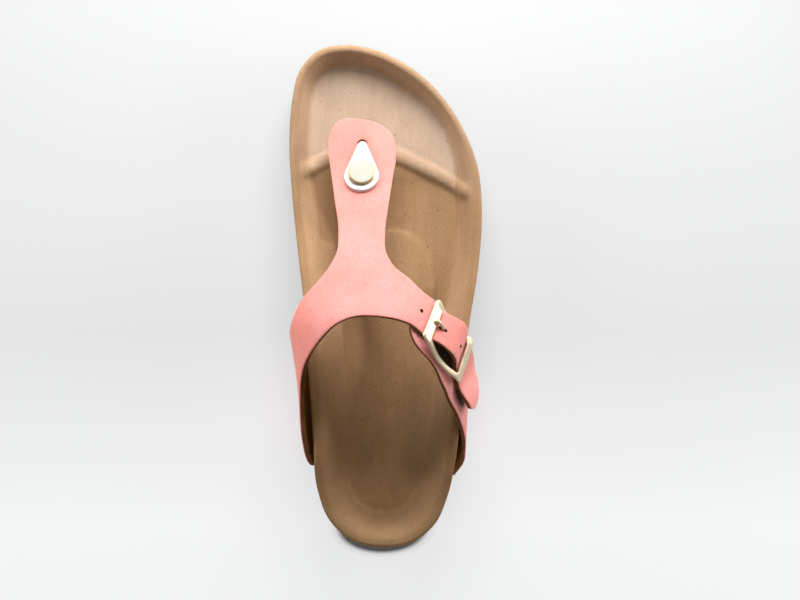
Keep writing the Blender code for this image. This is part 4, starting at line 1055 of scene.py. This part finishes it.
def punch(bm, hole):
    """Cut a round hole, given by its line, out of a flat mesh."""
    if signed_area(hole) < 0:
        hole = hole[::-1]
    middle = Vector((*hole.mean(axis=0), 0.0))
    reach = 2.5 + np.linalg.norm(hole - hole.mean(axis=0), axis=1).max()
    sides = list(zip(hole, np.roll(hole, -1, axis=0)))
    for a, b in sides:
        near = [f for f in bm.faces if (f.calc_center_median() - middle).length < reach]
        geom = set(near) | {e for f in near for e in f.edges} | {v for f in near for v in f.verts}
        bmesh.ops.bisect_plane(bm, geom=list(geom), dist=1e-4, plane_co=(*a, 0),
                               plane_no=(b[1] - a[1], a[0] - b[0], 0))
    inside = []
    for f in bm.faces:
        spot = np.array(f.calc_center_median())[:2]
        if all(np.cross(b - a, spot - a) > 0 for a, b in sides):
            inside.append(f)
    bmesh.ops.delete(bm, geom=inside, context="FACES")


def round_hole(x, y, radius):
    """Line of a round hole seen from above, in pattern coordinates."""
    a = np.linspace(0, 2 * math.pi, 24, endpoint=False)
    y = y + radius * np.sin(a)
    return np.stack([girth_at(x + radius * np.cos(a), y), y], axis=1)


def tail_hole(p, half_length=0.0):
    """Line of one hole of the tail, round or stretched along the tail, in pattern coordinates."""
    a = np.linspace(0, 2 * math.pi, 16, endpoint=False)
    ends = half_length * np.sign(np.round(np.cos(a), 6))
    spots = zip(p + ends + HOLE_RADIUS * np.cos(a), HOLE_RADIUS * np.sin(a))
    return np.array([SEAT.pattern_spot(*spot) for spot in spots])


def tongue_edge():
    """Drop-shaped outline of the tongue, in pattern coordinates."""
    def arc(middle, radius, start, stop, count):
        a = np.linspace(start, stop, count)
        return np.stack([radius * np.cos(a), middle + radius * np.sin(a)], axis=1)

    slope = np.gradient(last_point(0.0, np.array([RIVET_Y - 1, RIVET_Y, RIVET_Y + 1]))[:, 2])[1]
    along = 1 / math.hypot(1, slope)
    reach = (TONGUE_FRONT_Y - TONGUE_BACK_Y) / along
    lean = math.asin((TONGUE_BACK_RADIUS - TONGUE_FRONT_RADIUS) / reach)
    wide = arc(0.0, TONGUE_BACK_RADIUS, math.pi - lean, 2 * math.pi + lean, 81)
    narrow = arc(reach, TONGUE_FRONT_RADIUS, lean, math.pi - lean, 33)
    t = np.linspace(0, 1, 25)[1:-1, None]
    drop = np.vstack([wide, wide[-1] * (1 - t) + narrow[0] * t, narrow, narrow[-1] * (1 - t) + wide[0] * t])
    y = TONGUE_BACK_Y + drop[:, 1] * along
    return np.stack([girth_at(last_value("crest_x", y) + drop[:, 0], y), y], axis=1)


def fine_tongue(looks):
    """Drop-shaped plate with a rounded edge, and the post below it."""
    ob = thick_sheet("toe_post_plastic", tongue_edge(), tongue_place, TONGUE_RIM, TONGUE_CELLS, looks)
    top = surface_frame(0.0, TONGUE_FRONT_Y - 0.5, STRAP_THICKNESS + GAP + 0.3).translation / MM
    foot = float(joint(POST_Y)) + GAP
    path = [(POST_X, POST_Y, foot), (POST_X, POST_Y, foot + 4.0), (POST_X, POST_Y - 0.2, top.z - 10.0),
            (top.x, top.y, top.z)]
    radii = [POST_FOOT_RADIUS, POST_FOOT_RADIUS, POST_RADIUS, POST_RADIUS - 0.1]
    join(ob, swept_round("post", path, radii, 28, 10))
    return dress(ob, looks, 50)


def fine_rivet(looks):
    """Turned cap: a low dome on a stepped flange."""
    r, h = RIVET_RADIUS, RIVET_HEIGHT
    profile = [(0.0, 0.0), (r + 0.1, 0.0), (r + 0.3, 0.15), (r + 0.3, 0.45), (r + 0.15, 0.6),
               (r - 0.15, 0.65), (r - 0.15, h * 0.55), (r - 0.28, h * 0.72), (r - 0.55, h * 0.83),
               (r - 1.0, h * 0.9), (r - 2.0, h * 0.95), (r * 0.4, h * 0.99), (0.0, h)]
    cap = turned("post_rivet_cap", profile)
    wall = [1 if f.center.z < h * 0.78 * MM else 0 for f in cap.data.polygons]
    cap.data.polygons.foreach_set("material_index", wall)
    return settle(cap, surface_frame(0.0, RIVET_Y, STRAP_THICKNESS + 2 * GAP + TONGUE_THICKNESS), looks, 35)


def fine_frame(seat, looks):
    """Bent buckle ring with a crowned face, its arms dipped to carry the thin bar."""
    reach, corner = FRAME_OPENING / 2, seat.half + BAR_WIDTH / 2
    half_q, window = reach + ARM_WIDTH, seat.half - BAR_WIDTH / 4
    outer = rounded_loop(corner, half_q, FRAME_CORNER, 40, 24, 10)
    inner = rounded_loop(seat.half - BAR_WIDTH / 2, reach, WINDOW_CORNER, 40, 24, 10)

    def height(p, q):
        level = float(seat.rise(p)) + 2 * GAP
        if q < 0:
            return level - ARM_DIP[0] * max(0.0, 1 - (p / window) ** 2) ** 1.4
        dip = ARM_DIP[1] * max(0.0, 1 - (p / corner) ** 2) ** 1.3
        return level - dip * float(between(q, reach - 1.5, reach))

    def ring_spot(p, q, level):
        bow = -ARM_BOW[0] if q < 0 else ARM_BOW[1]
        bow *= max(0.0, 1 - (p / seat.half) ** 2) * float(between(abs(q), reach - 3.0, reach))
        along = p + (q + bow) * float(seat.skew(p))
        bend = float(seat.rise(along) - seat.rise(p))
        return Vector((along, q + bow, height(p, q) + bend + FRAME_THICKNESS * level)) * MM

    bm = bmesh.new()
    rings = [[bm.verts.new(ring_spot(*(o + (i - o) * share), level)) for share, level in BAR_SECTION]
             for o, i in zip(outer, inner)]
    bridge(bm, rings + rings[:1])
    ring = finish_mesh("buckle_ring", bm)
    low, lean = centre_bar_height(seat), float(seat.skew(0.0))
    near, far = (height(0.0, side) + FRAME_THICKNESS / 2 for side in (-reach, reach))
    path = [(half_q + ARM_BOW[1] - 1.0, far), (reach + ARM_BOW[1], far), (reach + ARM_BOW[1] - 1.8, low),
            (0.0, low), (1.8 - reach, low), (-reach, near), (-half_q - ARM_BOW[0] + 1.0, near)]
    taper = np.array([0.5, 0.7, 1.0, 1.0, 1.0, 0.7, 0.5])
    bar = swept_round("centre_bar", [(q * lean, q, z) for q, z in path], CENTRE_BAR_RADIUS * taper, 20, 8)
    bar.data.polygons.foreach_set("material_index", [1] * len(bar.data.polygons))
    join(ring, bar)
    return settle(ring, seat.frame, looks, 45)


def fine_prong(seat, looks):
    """Bent pin from the thin bar up through the tail and onto the inner bar, with a rounded tip."""
    def under(p):
        return float(seat.tail_face(p)) - STRAP_THICKNESS - GAP - PRONG_RADIUS - 0.2

    root = -CENTRE_BAR_RADIUS - GAP - PRONG_RADIUS * 0.5
    tip_p = -seat.half - 0.2
    tip = float(seat.rise(tip_p)) + FRAME_THICKNESS + 3 * GAP + PRONG_RADIUS
    path = [
        (root, 0.0, min(centre_bar_height(seat), under(root))),
        (-3.6, 0.0, under(-3.6)),
        (PRONG_HOLE, 0.0, float(seat.tail_face(PRONG_HOLE)) - STRAP_THICKNESS / 2),
        (-seat.half + BAR_WIDTH / 2 + 1.0, 0.0, tip + 0.6),
        (tip_p + 0.5, 0.0, tip + 0.15),
        (tip_p + 0.1, 0.0, tip + 0.1),
        (tip_p, 0.0, tip + 0.1),
    ]
    r = PRONG_RADIUS
    pin = swept_round("buckle_pin", path, [r, r, r, r, r * 0.92, r * 0.6, r * 0.3], 20, 8)
    return settle(pin, seat.frame, looks, 50)


def join(ob, other):
    """Add another object's mesh to this one."""
    bm = bmesh.new()
    bm.from_mesh(ob.data)
    bm.from_mesh(other.data)
    bm.to_mesh(ob.data)
    bm.free()
    drop_object(other)


def dress(ob, looks, sharp):
    """Materials, and smooth shading up to an angle in degrees."""
    if not ob.data.materials:
        for look in looks:
            ob.data.materials.append(look)
    ob.data.shade_smooth()
    ob.data.set_sharp_from_angle(angle=math.radians(sharp))
    return ob


# Materials

class Look:
    """Node material: textures in object space feed one principled shader."""

    def __init__(self, name, **sockets):
        self.material = bpy.data.materials.new(name)
        self.material.use_nodes = True
        self.tree = self.material.node_tree
        self.shader = self.tree.nodes["Principled BSDF"]
        self.place = self.node("ShaderNodeTexCoord").outputs["Object"]
        self.set(self.shader, sockets)

    def node(self, kind, **settings):
        made = self.tree.nodes.new(kind)
        for key, value in settings.items():
            setattr(made, key, value)
        return made

    def wire(self, source, target):
        if isinstance(source, bpy.types.NodeSocket):
            self.tree.links.new(source, target)
        else:
            target.default_value = source

    def set(self, node, sockets):
        for key, value in sockets.items():
            self.wire(value, node.inputs[key.replace("_", " ")])

    def mapped(self, output, kind, space=None, settings=None, **sockets):
        """Output of a node that reads object space or the space given."""
        made = self.node(kind, **(settings or {}))
        self.set(made, {"Vector": space or self.place, **sockets})
        return made.outputs[output]

    def stretched(self, scale):
        """Object space with its own scale on each axis."""
        return self.mapped("Vector", "ShaderNodeMapping", Scale=scale)

    def warped(self, scale, amount):
        """Object space pushed about by noise, so that what is laid out in it has ragged edges."""
        made = self.node("ShaderNodeVectorMath", operation="MULTIPLY_ADD")
        self.wire(self.mapped("Color", "ShaderNodeTexNoise", Scale=scale), made.inputs[0])
        made.inputs[1].default_value = (amount, amount, amount)
        self.wire(self.place, made.inputs[2])
        return made.outputs["Vector"]

    def noise(self, scale, detail=3.0, rough=0.55, space=None):
        return self.mapped("Fac", "ShaderNodeTexNoise", space, Scale=scale, Detail=detail, Roughness=rough)

    def cells(self, scale, feature="F1", output="Distance", space=None):
        return self.mapped(output, "ShaderNodeTexVoronoi", space, {"feature": feature}, Scale=scale)

    def specks(self, scale, size, patch_scale, patch):
        """Small round spots in patches. size and patch are where each fades."""
        spots = self.ramp(self.cells(scale), (size[0], 1.0), (size[1], 0.0))
        return self.times(spots, self.ramp(self.noise(patch_scale, 2.0), (patch[0], 0.0), (patch[1], 1.0)))

    def mesh_value(self, name):
        """A value that the mesh carries on its points."""
        return self.node("ShaderNodeAttribute", attribute_name=name).outputs["Fac"]

    def ramp(self, source, *stops):
        """Colour ramp from (position, value or colour) pairs."""
        made = self.node("ShaderNodeValToRGB")
        self.wire(source, made.inputs["Fac"])
        band = made.color_ramp
        while len(band.elements) < len(stops):
            band.elements.new(0.5)
        for element, (position, value) in zip(band.elements, stops):
            element.position = position
            element.color = (*value, 1.0) if isinstance(value, tuple) else (value, value, value, 1.0)
        return made.outputs["Color"]

    def mix(self, share, a, b, blend="MIX"):
        made = self.node("ShaderNodeMix", data_type="RGBA", blend_type=blend)
        self.wire(share, made.inputs["Factor"])
        colour = [s for s in made.inputs if s.type == "RGBA"]
        for value, socket in ((a, colour[0]), (b, colour[1])):
            self.wire((*value, 1.0) if isinstance(value, tuple) else value, socket)
        return [s for s in made.outputs if s.type == "RGBA"][0]

    def tinted(self, tone, tint, share=1.0):
        return self.mix(share, tone, tint, "MULTIPLY")

    def math(self, operation, a, b):
        made = self.node("ShaderNodeMath", operation=operation)
        self.wire(a, made.inputs[0])
        self.wire(b, made.inputs[1])
        return made.outputs["Value"]

    def times(self, a, b):
        return self.math("MULTIPLY", a, b)

    def bumps(self, *layers):
        """Chain of bumps from (height, strength, distance in millimetres)."""
        below = {}
        for height, strength, distance in layers:
            made = self.node("ShaderNodeBump")
            self.set(made, {"Height": height, "Strength": strength, "Distance": distance * MM, **below})
            below = {"Normal": made.outputs["Normal"]}
        self.set(self.shader, below)

    def colour(self, source):
        self.wire(source, self.shader.inputs["Base Color"])

    def roughness(self, source, *stops):
        self.wire(self.ramp(source, *stops), self.shader.inputs["Roughness"])


def felt_look():
    look = Look("felt_coral", Sheen_Weight=0.38, Sheen_Roughness=0.4, Sheen_Tint=FELT_SHEEN,
                Specular_IOR_Level=0.12)
    fibre = look.noise(1500.0, 4.0, 0.7)
    tone = look.ramp(look.noise(42.0, 3.0), (0.32, FELT_DEEP), (0.68, FELT_PALE))
    tone = look.tinted(tone, look.ramp(fibre, (0.28, 0.72), (0.5, 1.0), (0.72, 1.12)))
    # painted shade on the thong strap, by its deep value
    tone = look.tinted(tone, FELT_SHADE_TINT, look.mesh_value("deep"))
    specks = look.specks(430.0, (0.08, 0.19), 210.0, (0.50, 0.62))
    tone = look.mix(look.times(specks, 0.8), tone, FELT_SPECK)
    # painted shadow: near black where the tail and the buckle keep the light off the buckle strap
    look.colour(look.mix(look.times(look.mesh_value("shade"), 0.96), tone, FELT_PAINTED_SHADOW))
    look.roughness(fibre, (0.2, 0.82), (0.8, 0.98))
    look.bumps((look.noise(260.0, 2.0), 0.3, 0.3), (fibre, 0.6, 0.25), (specks, -0.5, 0.2))
    return look.material


def lining_look(name, tones):
    look = Look(name, Specular_IOR_Level=0.03)
    fibre = look.noise(1500.0, 4.0, 0.7)
    tone = look.mix(look.ramp(look.noise(90.0, 2.0), (0.35, 0.0), (0.65, 1.0)), *tones)
    look.colour(look.tinted(tone, look.ramp(fibre, (0.28, 0.6), (0.7, 1.3))))
    look.roughness(fibre, (0.2, 0.8), (0.8, 0.97))
    look.bumps((fibre, 0.6, 0.25))
    return look.material


def suede_look():
    look = Look("suede_tan", Sheen_Weight=0.1, Sheen_Roughness=0.45, Sheen_Tint=SUEDE_SHEEN,
                Specular_IOR_Level=0.12)
    nap = look.noise(1400.0, 5.0, 0.72)
    streak = look.noise(1.0, 3.0, 0.6, look.stretched((300.0, 55.0, 160.0)))
    tone = look.ramp(look.noise(38.0, 4.0, 0.6), (0.32, SUEDE_DEEP), (0.68, SUEDE_PALE))
    tone = look.tinted(tone, look.ramp(streak, (0.3, 0.94), (0.7, 1.045)))
    coarse = look.math("SUBTRACT", 1.0, look.times(look.mesh_value("toe"), 0.6))
    tone = look.tinted(tone, look.ramp(nap, (0.32, 0.77), (0.5, 1.0), (0.68, 1.14)), coarse)
    # zone tints: painted shade on the seat and the heel, a painted highlight on the toe bed, a darker band
    # along the rim
    for zone, share, tint in SUEDE_ZONES:
        tone = look.tinted(tone, tint, look.times(look.mesh_value(zone), share))
    specks = look.specks(380.0, (0.09, 0.22), 170.0, (0.52, 0.64))
    look.colour(look.mix(look.times(specks, 0.75), tone, SUEDE_SPECK))
    look.roughness(nap, (0.2, 0.85), (0.8, 0.99))
    look.bumps((look.noise(150.0, 3.0), 0.2, 0.5), (nap, 0.6, 0.3), (specks, -0.4, 0.2))
    return look.material


def cork_look():
    look = Look("cork_pressed", Specular_IOR_Level=0.2)
    fine = look.noise(1700.0, 4.0, 0.65)
    space = look.warped(260.0, 0.0022)
    grains = look.cells(520.0, output="Color", space=space)
    seams = look.ramp(look.cells(520.0, "DISTANCE_TO_EDGE", space=space), (0.0, 1.0), (0.10, 0.0))
    tone = look.ramp(grains, *zip((0.15, 0.5, 0.85), CORK_TONES))
    tone = look.tinted(tone, look.ramp(fine, (0.3, 0.74), (0.5, 1.0), (0.7, 1.16)))
    bark = look.ramp(look.cells(330.0, output="Color", space=space), (0.70, 0.0), (0.78, 1.0))
    tone = look.mix(look.times(bark, 0.62), tone, CORK_BARK)
    look.colour(look.mix(look.times(seams, 0.35), tone, CORK_SEAM))
    look.roughness(fine, (0.3, 0.74), (0.7, 0.93))
    look.bumps((seams, -0.45, 0.3), (fine, 0.4, 0.25))
    return look.material


def foam_look():
    look = Look("foam_brown", Specular_IOR_Level=0.3)
    fine = look.noise(1400.0, 4.0, 0.6)
    look.colour(look.ramp(fine, *zip((0.3, 0.7), FOAM_TONES)))
    look.roughness(look.noise(120.0), (0.3, 0.62), (0.7, 0.85))
    bands = {"wave_type": "BANDS", "bands_direction": "Y", "wave_profile": "SIN"}
    wave = look.mapped("Fac", "ShaderNodeTexWave", None, bands, Scale=55.0, Distortion=1.6, Detail=0.0,
                       Detail_Scale=0.9)
    normal = look.node("ShaderNodeNewGeometry").outputs["Normal"]
    below = look.math("LESS_THAN", look.mapped("Z", "ShaderNodeSeparateXYZ", normal), -0.7)
    tread = look.times(look.ramp(wave, (0.35, 0.0), (0.6, 1.0)), below)
    look.bumps((tread, 0.9, 0.9), (fine, 0.35, 0.2), (look.cells(900.0), 0.15, 0.2))
    return look.material


def plastic_look():
    look = Look("plastic_white", Coat_Weight=0.35, Coat_Roughness=0.08, Specular_IOR_Level=0.5)
    look.colour(look.ramp(look.noise(160.0, 3.0), *zip((0.3, 0.7), PLASTIC_TONES)))
    look.roughness(look.noise(900.0, 3.0), (0.3, 0.2), (0.7, 0.34))
    look.bumps((look.noise(700.0, 2.0), 0.06, 0.1))
    return look.material


def gold_look(name, tones, rough, metal=0.85, gloss=0.5):
    look = Look(name, Metallic=metal, Specular_IOR_Level=gloss)
    cloud = look.noise(220.0, 3.0)
    brushed = look.noise(1.0, 2.0, 0.5, look.stretched((1500.0, 260.0, 500.0)))
    look.colour(look.ramp(cloud, *zip((0.3, 0.7), tones)))
    look.roughness(brushed, *zip((0.25, 0.75), rough))
    look.bumps((brushed, 0.015, 0.02), (cloud, 0.02, 0.05))
    return look.material


# Stage

def floor_stage():
    """Paper that glows, more so behind the sandal, with a painted shadow right below its heel."""
    look = Look("floor_paper", Roughness=0.8, Specular_IOR_Level=0.1, Emission_Color=PAPER_GLOW)
    look.colour(look.ramp(look.noise(6.0, 2.0), *zip((0.3, 0.7), PAPER_TONES)))
    behind = look.times(look.mapped("Y", "ShaderNodeSeparateXYZ"), -5.0)
    glow = look.ramp(behind, *zip((0.1, 0.6), FLOOR_GLOW))
    # painted shadow below the heel: the glow fades out within an ellipse there
    heel = look.mapped("Vector", "ShaderNodeMapping", Scale=[1 / (r * MM) for r in HEEL_SHADE_REACH],
                       Location=[-c / r for c, r in zip(HEEL_SHADE, HEEL_SHADE_REACH)])
    away = look.mapped("Value", "ShaderNodeVectorMath", heel, {"operation": "LENGTH"})
    lit = look.ramp(away, (0.76, 0.0), (0.875, 0.85), (1.0, 1.0))
    look.wire(look.times(glow, lit), look.shader.inputs["Emission Strength"])
    bm = bmesh.new()
    bmesh.ops.create_grid(bm, x_segments=2, y_segments=2, size=4.0)
    floor = finish_mesh("floor", bm)
    floor.location.z = -0.0002
    floor.data.materials.append(look.material)


def studio():
    """Lamps, a dim warm world and the plain view transform."""
    for name, place, target, size, power, colour in LAMPS:
        lamp = bpy.data.lights.new(name, "AREA")
        lamp.shape = "RECTANGLE"
        lamp.size, lamp.size_y = size
        lamp.energy = power
        lamp.color = colour
        ob = add_object(name, lamp)
        ob.location = place
        ob.rotation_euler = (Vector(target) - Vector(place)).to_track_quat("-Z", "Y").to_euler()
        ob.visible_camera = False
    world = bpy.data.worlds.new("studio")
    world.use_nodes = True
    back = world.node_tree.nodes["Background"]
    back.inputs["Color"].default_value = WORLD_COLOUR
    back.inputs["Strength"].default_value = WORLD_STRENGTH
    bpy.context.scene.world = world
    bpy.context.scene.view_settings.view_transform = "Standard"


def camera():
    """Straight above, as in the photo."""
    lens = bpy.data.cameras.new("photo_camera")
    lens.sensor_width = 36.0
    lens.lens = CAMERA_LENS
    lens.clip_end = 20.0
    ob = add_object("photo_camera", lens)
    ob.location = CAMERA_PLACE
    bpy.context.scene.camera = ob


def main():
    felt = felt_look()
    lining = lining_look("lining_brown", LINING_TONES)
    cut_edge = lining_look("cut_edge", EDGE_TONES)
    gold = gold_look("gold_pale", GOLD_TONES, (0.39, 0.45), 0.92)
    pearl = gold_look("gold_pearl", PEARL_TONES, (0.45, 0.60), 0.0, 0.06)
    # flange of the rivet: gold darkened as a painted dark reflection
    ring = gold_look("gold_ring", RING_REFLECTION_TONES, (0.30, 0.42))
    # the thin bar is painted near black, as the shade it lies in below the tail
    painted_dark_bar = gold_look("bar_dark", BAR_PAINTED_SHADE_TONES, (0.5, 0.65), 0.2, 0.2)

    rays = SoleRays()
    strap_looks = [felt, lining, cut_edge]
    holes = [round_hole(POST_X, STRAP_HOLE_Y, STRAP_HOLE_RADIUS), tail_hole(PRONG_HOLE, PRONG_SLOT)]
    holes += [tail_hole(p) for p in TAIL_HOLES]
    thong = thick_sheet("thong_strap_felt", strap_edge(THONG_STRAP, THONG_POINTS), thong_place,
                        STRAP_RIM, THONG_CELLS, strap_looks, holes, {"deep": strap_painted_shade})
    buckled = thick_sheet("buckle_strap_felt", strap_edge(BUCKLE_STRAP, BUCKLE_POINTS), buckle_strap_place,
                          STRAP_RIM, BUCKLE_CELLS, strap_looks, values={"shade": tail_painted_shadow})

    pieces = [
        (fine_outsole(rays, [foam_look()]), "outsole", "outsole_foam"),
        (fine_footbed(rays, [cork_look()]), "footbed", "footbed_cork"),
        (fine_insole(rays, [suede_look()]), "insole", "insole_suede"),
        (thong, "thong_strap", "strap_felt"),
        (buckled, "buckle_strap", "strap_felt"),
        (fine_tongue([plastic_look()]), "toe_post", "post_plastic"),
        (fine_rivet([pearl, ring]), "post_rivet", "pale_gold"),
        (fine_frame(SEAT, [gold, painted_dark_bar]), "buckle_frame", "pale_gold"),
        (fine_prong(SEAT, [gold]), "buckle_prong", "pale_gold"),
    ]
    for ob, node, slot in pieces:
        ob.data.transform(CENTRED)
        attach(ob, "root")
        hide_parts(node)

    floor_stage()
    studio()
    camera()


main()
